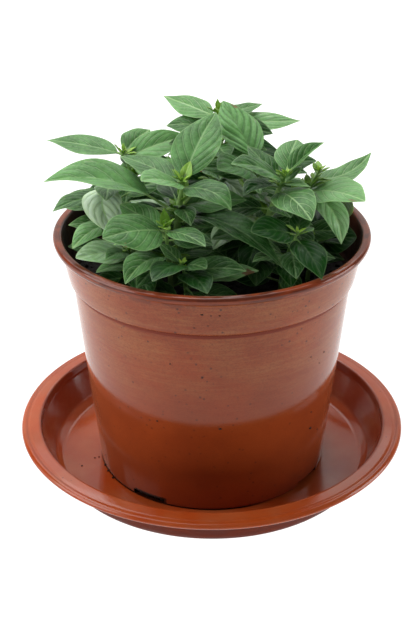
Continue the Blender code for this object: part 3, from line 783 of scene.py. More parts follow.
class Shader:
    """A Principled material and the few kinds of node that these looks are mixed from."""

    def __init__(self, name, settings):
        self.material = bpy.data.materials.new(name)
        self.material.use_nodes = True
        self.tree = self.material.node_tree
        self.surface = self.tree.nodes["Principled BSDF"]
        self.shade = None
        for key, value in settings.items():
            self.surface.inputs[key].default_value = value

    def join(self, source, socket):
        if isinstance(source, Wire):
            self.tree.links.new(source.socket, socket)
        else:
            socket.default_value = source

    def node(self, kind, outlet, inputs, **settings):
        """The wire from one outlet of a new node, with its inputs joined by name or number."""
        made = self.tree.nodes.new("ShaderNode" + kind)
        for key, value in settings.items():
            setattr(made, key, value)
        for key, source in inputs.items():
            self.join(source, made.inputs[key])
        return Wire(self, made.outputs[outlet])

    def place(self, scale=(1, 1, 1)):
        """Object coordinates in metres, stretched by a scale."""
        return self.node("Mapping", "Vector", {"Vector": self.node("TexCoord", "Object", {}), "Scale": scale})

    def reach(self):
        """Distance from the pot's axis, in metres."""
        return self.node("VectorMath", "Value", {0: self.place((1, 1, 0))}, operation="LENGTH")

    def axis(self, letter):
        return self.node("SeparateXYZ", letter, {0: self.node("TexCoord", "Object", {})})

    def mark(self, name):
        return self.node("Attribute", "Fac", {}, attribute_name=name)

    def math(self, operation, *values):
        return self.node("Math", 0, dict(enumerate(values)), operation=operation)

    def band(self, value, low, high, to_low=0.0, to_high=1.0):
        """A smooth step of a value between two limits."""
        inputs = {"Value": value, "From Min": low, "From Max": high, "To Min": to_low, "To Max": to_high}
        return self.node("MapRange", "Result", inputs, interpolation_type="SMOOTHSTEP")

    def noise(self, scale, detail=3.0, stretch=(1, 1, 1), rough=0.55):
        return self.node("TexNoise", "Fac", {"Vector": self.place(stretch), "Scale": scale, "Detail": detail,
                                             "Roughness": rough})

    def cells(self, scale, feature="F1"):
        return self.node("TexVoronoi", "Distance", {"Vector": self.place(), "Scale": scale}, feature=feature)

    def mix(self, share, a, b):
        return self.node("Mix", 2, {0: share, 6: a, 7: b}, data_type="RGBA")

    def base(self, share, a, b):
        """Starts the colour, as a mix of two."""
        self.shade = self.mix(share, rgb(*a), rgb(*b))

    def tint(self, share, colour):
        """Lays a share of a colour over what is there."""
        self.shade = self.mix(share, self.shade, rgb(*colour))

    def done(self, rough, height, strength, depth):
        """The material, with its colour, its roughness and a bump of a depth in mm."""
        bump = self.node("Bump", "Normal", {"Strength": strength, "Distance": depth * MM, "Height": height})
        for source, key in ((self.shade, "Base Color"), (rough, "Roughness"), (bump, "Normal")):
            self.join(source, self.surface.inputs[key])
        return self.material


def rgb(red, green, blue):
    """A colour from its sRGB parts, 0 to 255, as the linear values that a shader takes."""
    parts = []
    for value in (red, green, blue):
        share = value / 255
        parts.append(share / 12.92 if share <= 0.04045 else ((share + 0.055) / 1.055) ** 2.4)
    return (*parts, 1.0)


def plastic_saucer():
    """Glossy terracotta plastic, with faint wear and water marks, painted shade on its inner wall, painted
    light at its front and a painted shadow under the pot.
    """
    coat = Shader("saucer_plastic", {"IOR": 1.4})
    cloud = coat.noise(26, 4)
    coat.base(coat.band(cloud, 0.35, 0.7), (156, 60, 20), (170, 72, 26))
    inner = coat.band(coat.reach(), SAUCER_WALL_R + 1.0 * MM, SAUCER_WALL_R)
    # painted shade: the saucer's inner wall is painted a darker maroon, for the shade and reflection of the
    # pot
    inner_wall_shade = coat.band(coat.axis("Z"), SAUCER_FLOOR_Z + 2.0 * MM, SAUCER_FLOOR_Z + 5.0 * MM) * inner
    coat.tint(inner_wall_shade * 0.5, (108, 50, 42))
    # painted light: the front of the saucer's inside is painted a warmer, brighter orange
    coat.tint(coat.band(coat.axis("Y"), *LIT_FRONT) * inner * 0.5, (206, 92, 38))
    coat.tint(coat.band(coat.noise(55, 5, (1, 1, 3)), 0.35, 0.75, 0.02, 0.32), (158, 100, 66))
    specks = coat.band(coat.cells(190), 0.10, 0.05) * coat.band(coat.noise(70, 2), 0.56, 0.64)
    coat.tint(specks * 0.8, (70, 34, 24))
    # painted shadow: a near-black line on the saucer where the pot's foot stands
    shaded_beneath = coat.band(coat.reach(), *[POT_FOOT_R + reach for reach in CONTACT_SHADOW_REACH])
    coat.tint(shaded_beneath * coat.band(coat.axis("X"), *CONTACT_SHADOW_END) * 0.92, (16, 8, 6))
    wear = coat.noise(240, 4, (1, 1, 6))
    return coat.done(coat.band(cloud * 0.6 + wear * 0.4, 0.3, 0.75, 0.09, 0.2), coat.noise(420, 3), 0.06, 0.3)


def saucer_outside():
    """The saucer's outer wall: the same plastic, scuffed and dull, with a darker base colour as painted shade
    where it faces the ground.
    """
    coat = Shader("saucer_shaded_scuffed", {"IOR": 1.1})
    cloud = coat.noise(60, 5, (1, 1, 2))
    # painted shade: a darker base than the saucer's own plastic
    coat.base(coat.band(cloud, 0.35, 0.7), (88, 30, 13), (104, 40, 21))
    coat.tint(coat.band(coat.noise(240, 4, (1, 1, 8), 0.7), 0.55, 0.7) * 0.4, (150, 84, 58))
    return coat.done(coat.band(cloud, 0.3, 0.7, 0.4, 0.6), coat.noise(420, 3), 0.1, 0.3)


def underside_shade():
    """Near-black painted shade under the pot's base, with some dirt, which shows through the notches of its
    foot ring.
    """
    coat = Shader("pot_underside_shade", {"IOR": 1.3})
    cloud = coat.noise(200, 5)
    coat.base(coat.band(cloud, 0.3, 0.7), (16, 9, 7), (40, 20, 13))
    return coat.done(coat.band(cloud, 0.3, 0.7, 0.5, 0.8), cloud, 0.4, 0.6)


def plastic_pot():
    """Terracotta plastic: dusty and scratched above with a painted sheen, clean and darker below, painted
    shade in the collar's crease and the front notch, and a grimy lip.
    """
    coat = Shader("pot_plastic", {"IOR": 1.36, "Sheen Weight": 0.1, "Sheen Roughness": 0.5,
                                  "Sheen Tint": rgb(255, 200, 160)})
    x, y, height = coat.axis("X"), coat.axis("Y"), coat.axis("Z")
    coat.base(coat.band(coat.noise(22, 4), 0.35, 0.7), (128, 50, 19), (144, 60, 23))
    # dust with a painted sheen: the upper wall is painted paler and golden where it reflects the bright room
    upper = coat.band(height, *DUST_AND_SHEEN_RISE)
    scratches = coat.band(coat.noise(60, 5, (1, 1, 14), 0.7), 0.42, 0.66)
    patches = coat.band(coat.noise(34, 5, (1, 1, 2.2), 0.6), 0.32, 0.68)
    dust_and_sheen = upper * (scratches * 0.3 + patches * 0.35)
    coat.tint(dust_and_sheen, (156, 100, 58))
    salt = coat.band(coat.noise(1000, 2, (1, 1, 1.6), 0.7), 0.46, 0.60)
    coat.tint(salt * (upper * 0.24 + 0.12), (92, 40, 20))
    gate = coat.band(coat.noise(95, 2), 0.46, 0.6) * (upper * 0.5 + 0.5)
    coat.tint(coat.band(coat.cells(260), 0.2, 0.12) * gate * 0.8, (58, 30, 24))
    # painted shade: a dark line in the crease under the collar's step
    crease_shade = coat.band(height, STEP_Z - 2.0 * MM, STEP_Z - 1.2 * MM)
    crease_shade = crease_shade * coat.band(height, STEP_Z + 1.5 * MM, STEP_Z + 0.7 * MM)
    coat.tint(crease_shade * 0.95, (112, 34, 4))
    smudge = coat.band(height, POT_TOP - 9.5 * MM, POT_TOP - 4.0 * MM)
    smudge = smudge * coat.band(coat.noise(110, 5, (1, 1, 1.6), 0.7), 0.44, 0.62)
    coat.tint(smudge * 0.55, (60, 34, 28))
    lip = coat.band(height, POT_TOP - 5.4 * MM, POT_TOP - 4.4 * MM)
    coat.tint(lip * 0.75, (124, 50, 24))
    streaks = coat.band(coat.noise(44, 4, (1, 1, 24), 0.6), 0.47, 0.56)
    coat.tint(lip * streaks * 0.6, (50, 26, 24))
    # painted shade, with some dirt: the inside of the front notch is painted near-black
    turn = radians(NOTCH_TURNS[0])
    aside = abs(x * cos(turn) + y * sin(turn) - NOTCH_SHADE_ASIDE)
    outward = x * sin(turn) - y * cos(turn)
    notch_top = POT_Z + NOTCH_H
    stain_and_shade = coat.band(aside, NOTCH_W / 2 + 0.6 * MM, NOTCH_W / 2 - 0.6 * MM)
    stain_and_shade = stain_and_shade * coat.band(height, notch_top + 1.3 * MM, notch_top + 0.7 * MM)
    coat.tint(stain_and_shade * coat.band(outward, 0, 10 * MM) * 0.92, (18, 8, 6))
    rough = coat.noise(90, 4, (1, 1, 4)) * 0.04 + dust_and_sheen * 0.08 + crease_shade * 0.5 + 0.03
    grain = coat.noise(160, 5, (1, 1, 16), 0.7) * 0.6 + coat.noise(700, 2) * 0.4
    return coat.done(rough, grain, 0.08, 0.25)


def stained_and_shaded_inside():
    """The pot's inner wall: the same plastic under dried soil and lime, painted very dark as painted shade.
    """
    coat = Shader("pot_inside", {"IOR": 1.4})
    stain_and_shade = coat.band(coat.noise(48, 5, (1, 1, 2)), 0.3, 0.7)
    # painted shade with stains: both colours are far darker than the pot's own plastic
    coat.base(stain_and_shade, (60, 30, 20), (30, 18, 14))
    coat.tint(coat.band(coat.noise(130, 4, (3, 3, 0.6)), 0.56, 0.72) * 0.3, (110, 66, 48))
    return coat.done(coat.band(stain_and_shade, 0, 1, 0.3, 0.6), coat.noise(500, 4), 0.2, 0.3)


def compost():
    """Damp dark potting compost."""
    coat = Shader("compost", {"IOR": 1.4})
    fine = coat.noise(900, 5)
    coat.base(coat.band(fine, 0.3, 0.75), (14, 10, 8), (36, 27, 22))
    fibres = coat.band(coat.noise(300, 3, (1, 5, 5)), 0.64, 0.72)
    coat.tint(fibres * 0.5, (60, 46, 34))
    return coat.done(coat.band(fine, 0.3, 0.7, 0.7, 0.95), fine, 0.6, 1.2)


def leaf_coat(name, deep, light, painted_sheen, vein_colour, settings, roughness, veins):
    """Leaf tissue with its midrib, side veins, fine network and pale margin, from the marks on the mesh."""
    coat = Shader(name, {**settings, "Subsurface Radius": (0.9, 1.0, 0.3), "Subsurface Scale": 0.5 * MM})
    apart = abs(coat.math("FRACT", coat.mark("phase") + 0.5) - 0.5) * coat.mark("pitch")
    margin, tone = coat.mark("margin"), coat.mark("tone")
    side_vein = coat.band(apart, 0.42, 0.12) * coat.band(margin, 0.2, 1.2)
    valley_shade = coat.band(apart, 1.2, 0.3) * coat.band(margin, 0.6, 2.4)
    rib = coat.band(abs(coat.mark("across")), 0.62, 0.28)
    net = coat.band(coat.cells(900, "DISTANCE_TO_EDGE"), 0.16, 0.03)
    # painted light and shade: the tone mark runs from the deep green of shaded leaves to the light green of
    # lit ones, and past 1 to a pale painted sheen
    share = coat.band(coat.noise(85, 3), 0.3, 0.7, -0.12, 0.12) + tone
    share = coat.band(coat.noise(620, 3), 0.3, 0.7, -0.07, 0.07) + share
    coat.base(coat.band(share, 0.0, 1.0), deep, light)
    coat.tint(coat.band(share, 0.7, 1.7), painted_sheen)
    # painted shade: the valleys beside the side veins are painted a deeper green
    coat.tint(valley_shade * 0.35, deep)
    strength = coat.band(tone, 0.0, 0.8, veins * 0.15, veins) * coat.mark("veins")
    edge = coat.band(margin, 0.6, 0.15) * (strength * 0.6 + 0.12)
    for drawn in (net * strength * 0.15, side_vein * strength, rib * strength * 1.5, edge):
        coat.tint(drawn, vein_colour)
    coat.tint(coat.band(coat.noise(500, 4) * 0.6 + coat.mark("burn"), 0.62, 0.8), (128, 98, 72))
    rough = coat.band(coat.noise(240, 4), 0.3, 0.7, roughness - 0.05, roughness + 0.07)
    return coat.done(rough, coat.noise(1100, 2) * 0.25 - side_vein * 0.8 - net * 0.2, 0.4, 0.16)


def stalk_coat():
    """Green stems, with fine lines along them."""
    coat = Shader("stalk_green", {"IOR": 1.42})
    cloud = coat.noise(140, 4, (1, 1, 0.25))
    coat.base(coat.band(cloud, 0.3, 0.7), (92, 134, 66), (136, 172, 96))
    return coat.done(coat.band(cloud, 0.3, 0.7, 0.38, 0.52), coat.noise(500, 3, (1, 1, 0.15)), 0.25, 0.2)


# Pot, saucer and soil
def saucer_profile():
    floor = SAUCER_FLOOR_Z
    wall_r = SAUCER_WALL_R
    rim = SAUCER_RIM_Z
    skin = SAUCER_SKIN
    groove = SAUCER_GROOVE_R
    return [
        (0, floor),
        (SAUCER_FLOOR_R, floor),
        (SAUCER_FLOOR_R + 3.7 * MM, floor + 3.3 * MM),
        (wall_r - 0.2 * MM, rim - 5 * MM),
        (wall_r, rim - 0.6 * MM),
        (wall_r + 1.2 * MM, rim),
        (groove - 1.2 * MM, rim - 0.7 * MM),
        (groove, rim - 1.2 * MM),
        (groove + 1.4 * MM, rim - 0.8 * MM),
        (SAUCER_R - 0.8 * MM, rim - 1.4 * MM),
        (SAUCER_R, rim - 2.6 * MM),
        (SAUCER_R - 0.8 * MM, rim - 3.8 * MM),
        (wall_r + skin + 1.2 * MM, rim - 3.0 * MM),
        (wall_r + skin, rim - 4.6 * MM),
        (SAUCER_FOOT_R + 5.5 * MM, 4.5 * MM),
        (SAUCER_FOOT_R + 2.6 * MM, 1.0 * MM),
        (SAUCER_FOOT_R, 0),
        (0, 0),
    ]


def pot_profile():
    return [
        (0, FLOOR_Z),
        (pot_inner_radius(FLOOR_Z), FLOOR_Z),
        *pot_upper_inside(),
        (POT_LIP_R - 1.0 * MM, POT_TOP - 0.2 * MM),
        (POT_LIP_R, POT_TOP - 1.4 * MM),
        (POT_LIP_R - 0.5 * MM, POT_TOP - 3.7 * MM),
        (POT_COLLAR_TOP_R + 1.0 * MM, POT_TOP - 4.4 * MM),
        (POT_COLLAR_TOP_R, POT_TOP - 5.4 * MM),
        (POT_COLLAR_R, STEP_Z + 1.2 * MM),
        (POT_STEP_R - 0.2 * MM, STEP_Z + 0.5 * MM),
        (POT_STEP_R, STEP_Z),
        (POT_FOOT_R + 0.4 * MM, POT_Z + 1.5 * MM),
        (POT_FOOT_R, POT_Z),
        (POT_FOOT_R - POT_SKIN, POT_Z),
        (POT_FOOT_R - POT_SKIN - 0.4 * MM, PLATE_Z),
        (0, PLATE_Z),
    ]


def uneven(amount, scale, seed):
    """A warp that moves points in and out a little, as moulded plastic gives with age."""
    def warp(at):
        shift = noise.noise(Vector((at.x * scale, at.y * scale, at.z * scale * 0.5 + seed)))
        flat = Vector((at.x, at.y, 0))
        return at + flat.normalized() * (shift - 0.6) * amount if flat.length > 0.02 else at
    return warp


def moulded(name, profile, rounding, warp):
    """A turned mesh with rounded corners and enough points to follow the warp."""
    return turned_mesh(name, dense(eased(profile, rounding), PROFILE_STEP), warp, TURN_STEPS)


def make_saucer():
    mesh = moulded("saucer_dish", saucer_profile(), SAUCER_ROUNDING, uneven(SAUCER_WARP, 14, 3.0))
    smooth(mesh, PLASTIC_EDGE)
    made = piece("saucer_dish", mesh, plastic_saucer(), saucer_outside())
    # the low, downward and outward faces of the outer wall take the painted shade
    for face in mesh.polygons:
        outward = Vector((face.center.x, face.center.y, 0)).normalized()
        below = face.normal.z < -0.05 and face.normal.dot(outward) > 0.3
        face.material_index = 1 if below and face.center.z < SAUCER_RIM_Z - SAUCER_SHADE_DROP else 0
    dress(made, "saucer")
    return mesh


def make_pot():
    mesh = moulded("pot_body", pot_profile(), POT_ROUNDING, uneven(POT_WARP, 16, 8.0))
    tools = []
    for turn in NOTCH_TURNS:
        form = bmesh.new()
        bmesh.ops.create_cube(form, size=1)
        away = radians(turn)
        reach = POT_FOOT_R - POT_SKIN / 2
        place = Matrix.Translation((reach * sin(away), -reach * cos(away), POT_Z))
        place = place @ Matrix.Rotation(away, 4, "Z")
        tools.append(tool_of(form, place @ Matrix.Diagonal((NOTCH_W, CUT_DEPTH, 2 * NOTCH_H, 1))))
    for k in range(DRAINS):
        form = bmesh.new()
        bmesh.ops.create_cone(form, cap_ends=True, segments=32, radius1=DRAIN_R, radius2=DRAIN_R,
                              depth=CUT_DEPTH)
        turn = tau * (k + 0.5) / DRAINS
        at = (DRAIN_RING_R * cos(turn), DRAIN_RING_R * sin(turn), PLATE_Z)
        tools.append(tool_of(form, Matrix.Translation(at)))
    mesh = cut_away(mesh, tools)
    smooth(mesh, PLASTIC_EDGE)
    made = piece("pot_body", mesh, plastic_pot(), stained_and_shaded_inside(), underside_shade())
    under = PLATE_Z + 1 * MM
    for face in mesh.polygons:
        flat = Vector((face.center.x, face.center.y, 0))
        inward = face.normal.dot(flat.normalized()) < 0.2
        inside = inward and face.center.z < POT_TOP - 0.7 * MM and flat.length < POT_LIP_INNER_R + 0.6 * MM
        # the faces under the base plate take the painted shade, with some dirt
        shaded_beneath = face.center.z < under and flat.length < POT_FOOT_R - 0.3 * MM
        face.material_index = 2 if shaded_beneath else 1 if inside and face.center.z > under else 0
    dress(made, "pot")
    return mesh


def clod(centre, size, draw):
    """Corners and faces of one rough crumb of soil."""
    form = bmesh.new()
    bmesh.ops.create_icosphere(form, subdivisions=1, radius=1)
    stretch = Vector((draw.uniform(0.7, 1.3), draw.uniform(0.7, 1.3), draw.uniform(0.55, 0.9)))
    salt = draw.uniform(0, 100)
    corners = []
    for corner in form.verts:
        push = 1 + 0.35 * noise.noise(corner.co * 1.4 + Vector((salt, 0, 0)))
        spot = corner.co * push
        corners.append(centre + Vector((spot.x * stretch.x, spot.y * stretch.y, spot.z * stretch.z)) * size)
    faces = [[v.index for v in face.verts] for face in form.faces]
    form.free()
    return corners, faces


def clods_mesh(name, places, draw, start=None):
    """A mesh of crumbs, joined to another mesh when one is given."""
    corners = [v.co.copy() for v in start.vertices] if start else []
    faces = [list(p.vertices) for p in start.polygons] if start else []
    for centre, size in places:
        more, sides = clod(centre, size, draw)
        faces += [[k + len(corners) for k in side] for side in sides]
        corners += more
    mesh = bpy.data.meshes.new(name)
    mesh.from_pydata(corners, [], faces)
    return mesh


def ground(x, y):
    """Height of the soil's surface at a place, in metres."""
    at = Vector((x, y, 0))
    lumps = noise.noise(at * 60) * 1.6 + noise.noise(at * 170 + Vector((7, 0, 0))) * 1.1
    return SOIL_TOP_Z + (lumps - 0.3) * MM


def make_soil(draw):
    """The soil with its crumbs. Returns its material, which bits of dirt elsewhere have too."""
    low = FLOOR_Z + GAP
    edge_r = pot_inner_radius(SOIL_EDGE_Z) - GAP
    profile = [(edge_r * k / SOIL_RINGS, SOIL_TOP_Z) for k in range(SOIL_RINGS)]
    profile += [(edge_r, SOIL_EDGE_Z), (pot_inner_radius(low) - GAP, low), (0, low)]

    def warp(at):
        if at.z > SOIL_EDGE_Z + 0.1 * MM:
            return Vector((at.x, at.y, ground(at.x, at.y)))
        return at
    body = turned_mesh("soil_body", profile, warp, SOIL_STEPS)
    places = []
    for _ in range(CRUMBS):
        reach = (edge_r - 3 * MM) * sqrt(draw.random())
        turn = draw.uniform(0, tau)
        x = reach * cos(turn)
        y = reach * sin(turn)
        size = draw.choice(CRUMB_SIZES) * draw.uniform(0.8, 1.2) * MM
        places.append((Vector((x, y, ground(x, y) + size * 0.25)), size))
    mesh = clods_mesh("potting_soil", places, draw, body)
    smooth(mesh, CRUMB_EDGE)
    dirt = compost()
    dress(piece("potting_soil", mesh, dirt), "soil")
    return dirt


# Bits of dirt, by the pixels where the photograph shows them: x, y and radius in mm
POT_FLECKS = ((202, 315, 0.6), (211, 316, 0.5), (220, 316, 0.5), (194, 328, 0.45), (208, 326, 0.4),
              (170, 364, 0.5), (202, 378, 0.4), (157, 421, 0.6), (220, 429, 0.7), (311, 412, 0.5),
              (310, 428, 0.6), (317, 429, 0.5), (324, 352, 0.45), (319, 363, 0.4), (311, 357, 0.4))
SAUCER_CRUMBS = ((105, 465, 0.5), (108, 471, 0.45), (113, 478, 0.6), (95, 458, 0.4), (99, 457, 0.3),
                 (82, 466, 0.4), (139, 489, 1.1), (143, 492, 1.3), (146, 491, 0.9), (149, 494, 1.2),
                 (153, 494, 1.0), (157, 497, 1.2), (160, 497, 0.9), (163, 499, 1.2), (166, 500, 0.8))


def scatter(name, spots, mesh, sink, dirt, draw):
    """Small bits of dirt on a surface, where the photograph's lines of sight meet it."""
    tree = BVHTree.FromPolygons([v.co for v in mesh.vertices], [tuple(p.vertices) for p in mesh.polygons])
    places = []
    for px, py, size in spots:
        hit, normal, _, _ = tree.ray_cast(EYE, sight(px, py))
        if hit is not None:
            places.append((hit - normal * size * MM * sink, size * 1.35 * MM))
    bits = clods_mesh(name, places, draw)
    smooth(bits, CRUMB_EDGE)
    made = piece(name, bits, dirt)
    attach(made, "root")


# Dressed stems
class Growth:
    """The corners, faces and marks of one dressed stem, gathered tube by tube, in millimetres."""

    def __init__(self):
        self.corners = []
        self.faces = []
        self.kinds = []
        self.marks = {name: [] for name in MARKS}
        self.count = 0

    def tube(self, rows, kinds, marks):
        """Adds a closed tube: rows of points around it, the kind of each side, and marks for each point."""
        steps, sides = rows.shape[:2]
        self.faces += wall(steps, sides, self.count)
        self.kinds += kinds * (steps - 1) + [kinds[0], kinds[0]]
        last = self.count + (steps - 1) * sides
        self.faces.append(tuple(self.count + j for j in reversed(range(sides))))
        self.faces.append(tuple(last + j for j in range(sides)))
        self.corners.append(rows.reshape(-1, 3))
        for name in MARKS:
            self.marks[name].append(np.broadcast_to(marks.get(name, 0.0), (steps, sides)).reshape(-1))
        self.count += steps * sides

    def mesh(self, name):
        made = bpy.data.meshes.new(name)
        corners = np.concatenate(self.corners) * MM
        made.from_pydata(corners.tolist(), [], self.faces)
        made.polygons.foreach_set("material_index", self.kinds)
        for mark, values in self.marks.items():
            layer = made.attributes.new(mark, "FLOAT", "POINT")
            layer.data.foreach_set("value", np.concatenate(values).astype(np.float32))
        form = bmesh.new()
        form.from_mesh(made)
        bmesh.ops.remove_doubles(form, verts=form.verts[:], dist=0.003 * MM)
        bmesh.ops.dissolve_degenerate(form, edges=form.edges[:], dist=0.001 * MM)
        bmesh.ops.recalc_face_normals(form, faces=form.faces[:])
        form.to_mesh(made)
        form.free()
        return made


def smoothstep(low, high, value):
    share = np.clip((value - low) / (high - low), 0, 1)
    return share * share * (3 - 2 * share)


def swept(u):
    """How far forward a side vein has run, as a share of the leaf's length, where it is u of the way out."""
    return u * (VEIN_SWEEP + VEIN_BEND * u)


def unswept(run):
    return (np.sqrt(VEIN_SWEEP ** 2 + 4 * VEIN_BEND * run) - VEIN_SWEEP) / (2 * VEIN_BEND)


def vein_grid(side_veins, per_vein, columns):
    """Where a blade's points lie: rows that follow the side veins, and columns from margin to margin.

    Returns each row's place on the midrib, and for each point its share u out from the midrib, with a sign
    for the side, and its share t of the leaf's length.
    """
    least = math.ceil((0.01 - swept(1)) * side_veins * per_vein)
    most = math.floor(0.985 * side_veins * per_vein)
    rows = [0.004 - swept(1)] + [k / (side_veins * per_vein) for k in range(least, most + 1)] + [0.997]
    rows = np.array(rows)
    out = np.linspace(0, 1, columns // 2 + 1) ** 1.3
    low = unswept(np.maximum(0, -rows))
    high = np.minimum(1, unswept(1 - rows))
    size = low[:, None] + (high - low)[:, None] * out
    size[:, 0] = 0
    t = np.clip(rows[:, None] + swept(size), 0, 1)
    u = np.concatenate([-size[:, :0:-1], size], axis=1)
    return rows, u, np.concatenate([t[:, :0:-1], t], axis=1)


def grow_leaf(growth, base, shape, tone, draw):
    """One finished leaf: a quilted blade with a grooved midrib, and its stalk running on below as a rib."""
    length, width = shape.length, shape.width
    path = leaf_path(base, shape)
    folded = length < BUD_LENGTH - 1
    small = length < SMALL_LENGTH
    side_veins = (BUD_VEINS if folded else LEAF_VEINS) + length / VEIN_LENGTH
    per_vein, columns = (2, 6) if folded else (3, 8) if small else (4, 10)
    rows, u, t = vein_grid(side_veins, per_vein, columns)
    full = 1 - 0.35 * min(1, max(0, (width / length - 0.45) / 0.3))
    tilt = draw.uniform(-0.35, 0.35)
    wave_turn = draw.uniform(0, tau)
    waves = draw.uniform(1.3, 2.3)
    wave = WAVE * length * draw.uniform(0.6, 1.2)
    quilt = 0.0 if folded else QUILT * width * draw.uniform(0.7, 1.2) * shape.relief
    fold = radians(shape.fold)
    skew = draw.uniform(-0.05, 0.05)
    body = np.maximum(0, np.sin(pi * t ** WIDEST))
    taper = 1 - 0.14 * full * smoothstep(0.72, 0.97, t)
    half = np.maximum(width / 2 * body ** full * taper, np.where(t < 0.5, BASE_HALF, TIP_HALF))
    size = np.abs(u)
    x = u * half
    away = np.sqrt(x * x + 0.5) - sqrt(0.5)
    phase = side_veins * rows[:, None] + tilt * u
    between = np.abs(np.sin(pi * phase)) ** 0.7
    window = smoothstep(0.02, 0.25, size) * (1 - smoothstep(0.75, 1.0, size))
    lift = away * sin(fold) - CURL * x * x / width
    lift += quilt * body * between * window
    lift -= GROOVE * np.minimum(1, half / 4) * np.exp(-(x / GROOVE_WIDTH) ** 2)
    lift += wave * body * size ** 3 * np.sin(tau * waves * t + wave_turn + np.sign(u) * 0.9)
    bow = skew * length * np.sin(pi * t) * 0.3
    side, face = leaf_axes(shape, t)
    surface = along(path, t) + side * (x * cos(fold) + bow)[..., None] + face * lift[..., None]
    normal = np.cross(np.gradient(surface, axis=1), np.gradient(surface, axis=0))
    normal /= np.linalg.norm(normal, axis=2, keepdims=True) + 1e-9
    thick = BLADE + (BLADE_EDGE - BLADE) * size
    offset = normal * (thick / 2)[..., None]
    facing = np.sign(np.sum(normal * leaf_axes(shape, 0.5)[1], axis=2).mean())
    upper = surface + offset * facing
    lower = surface - offset * facing
    marks = {"pitch": length / side_veins * 0.62, "tone": tone,
             "veins": draw.uniform(0.5, 1.0) / max(1.0, shape.relief) ** 2}
    spots = {"phase": phase, "across": x, "margin": half * (1 - size)}
    if shape.burn:
        burn_t, burn_x, reach = shape.burn
        spots["burn"] = np.maximum(0, 1 - np.hypot((t - burn_t) * length, x - burn_x) / reach)
    for name, values in spots.items():
        marks[name] = np.concatenate([values, values[:, ::-1]], axis=1)
    count = u.shape[1]
    kinds = [BUD] * 2 * count if folded else [TOP] * count + [UNDER] * count
    growth.tube(np.concatenate([upper, lower[:, ::-1]], axis=1), kinds, marks)
    grow_stalk(growth, base, shape, path, tone)


def grow_stalk(growth, base, shape, path, tone, sides=8):
    """The petiole, and the rib that it turns into under the blade."""
    length = shape.length
    thick = min(0.72, 0.30 + 0.012 * length)
    centres = []
    radii = []
    for s in np.linspace(0, 1, 5)[:-1]:
        centres.append(base + (path[0] - base) * s)
        radii.append(thick * (1.15 - 0.25 * s))
    for t in np.linspace(0.0, 0.86, max(5, round(length / 4))):
        radius = thick * (0.9 - 0.62 * t)
        sunk = (radius * 0.55 + 0.25) * smoothstep(0.0, 0.06, t)
        centres.append(along(path, t) - leaf_axes(shape, t)[1] * sunk)
        radii.append(radius)
    centres = np.array(centres)
    rows = []
    for centre, radius, tangent in zip(centres, radii, np.gradient(centres, axis=0)):
        tangent = tangent / np.linalg.norm(tangent)
        flat = np.cross(tangent, [0, 0, 1.0])
        flat /= np.linalg.norm(flat) + 1e-9
        up = np.cross(flat, tangent)
        rows.append([centre + (flat * way[0] + up * way[1] * 0.9) * radius for way in circle(sides)])
    growth.tube(np.array(rows), [STALK] * sides, {"tone": tone, **PLAIN_STALK})


def grow_stem(growth, stem, joints, sides=16, step=2.0, power=3.4):
    """The stem: four-sided with rounded corners, swollen where leaves stand."""
    low = SOIL_GRADE - HOLE_DEPTH
    top = stem.tip[2]
    rows = []
    for height in np.linspace(low, top, max(12, round((top - low) / step))):
        middle = stem_point(stem, height)
        radius = stem_radius(stem, height) * 0.80
        swell = sum(exp(-((height - joint) / 1.6) ** 2) for joint in joints)
        radius *= 1 + 0.22 * min(swell, 1)
        radius *= 0.45 + 0.55 * smoothstep(-1, 14, top - height)
        ring = []
        for way in circle(sides, 0.5):
            square = (abs(way[0]) ** power + abs(way[1]) ** power) ** (-1 / power)
            ring.append(middle + way * radius * square)
        rows.append(ring)
    growth.tube(np.array(rows), [STALK] * sides, {"tone": 0.5, **PLAIN_STALK})


def grow_buds(growth, base, way, draw):
    """A tuft of the smallest leaves, in two crossed pairs."""
    for k in range(2):
        size = TUFT_SIZE * (1 - 0.25 * k)
        for half_turn in (0, 180):
            turn = way + 90 * k + half_turn + draw.uniform(-15, 15)
            rise = 48 + 18 * k + draw.uniform(-8, 8)
            small = Leaf(base[2], turn, rise, size, size * 0.5, droop=25, petiole=0.5, fold=22, relief=1.0)
            grow_leaf(growth, base, small, 0.75, draw)


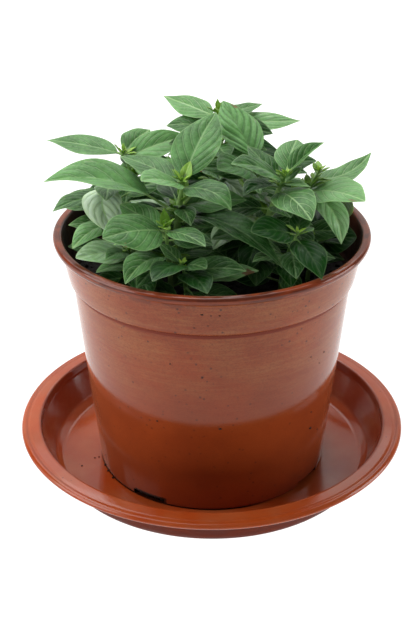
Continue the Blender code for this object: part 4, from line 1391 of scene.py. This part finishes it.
def make_stem(name, stem, leaves, more, coats, draw):
    growth = Growth()
    grow_stem(growth, stem, sorted({shape.at for _, shape in leaves if shape.length > BUD_LENGTH}))
    # each listed leaf keeps its tone with its painted light and shade, a little varied; the added leaves deep
    # inside get low tones, which paint them as shaded
    for base, shape in leaves:
        grow_leaf(growth, base, shape, shape.tone + draw.uniform(-0.10, 0.10), draw)
    spare = Growth()
    for index, (base, shape) in enumerate(more):
        kept = spare if index in stem.left_out else growth
        grow_leaf(kept, base, shape, draw.uniform(0.12, 0.42), draw)
    grow_buds(growth, stem_point(stem, stem.tip[2] - 0.6), draw.uniform(0, 90), draw)
    shape = stem.gap_leaf
    if shape:
        grow_leaf(growth, stem_point(stem, shape.at), shape, shape.tone, random.Random(SEED))
    mesh = growth.mesh(name.replace("leafy_", "basil_"))
    smooth(mesh, LEAF_EDGE)
    dress(piece(mesh.name, mesh, *coats), name)


def build():
    make_camera()
    make_studio()
    saucer = make_saucer()
    pot = make_pot()
    draw = random.Random(SEED)
    dirt = make_soil(draw)
    scatter("pot_flecks", POT_FLECKS, pot, 0.55, dirt, draw)
    scatter("saucer_crumbs", SAUCER_CRUMBS, saucer, -0.4, dirt, draw)
    face = {"IOR": 1.24, "Subsurface Weight": 0.25}
    underside = {"IOR": 1.45, "Sheen Weight": 0.15, "Sheen Roughness": 0.5, "Subsurface Weight": 0.25}
    young = {"IOR": 1.45, "Sheen Weight": 0.06, "Sheen Roughness": 0.4, "Subsurface Weight": 0.5}
    coats = (
        leaf_coat("leaf_face", (8, 56, 4), (114, 168, 98), (192, 214, 184), (164, 200, 140),
                  face, 0.32, 0.64),
        leaf_coat("leaf_underside", (58, 98, 40), (130, 164, 112), (200, 216, 192), (170, 198, 152),
                  underside, 0.5, 0.6),
        stalk_coat(),
        leaf_coat("leaf_bud", (84, 134, 26), (142, 186, 52), (170, 200, 80), (176, 210, 96),
                  young, 0.38, 0.3),
    )
    placed, room = arrange()
    more = fill_in(placed, room)
    for name, leaves in placed.items():
        make_stem(name, STEMS[name], leaves, more[name], coats, draw)


build()
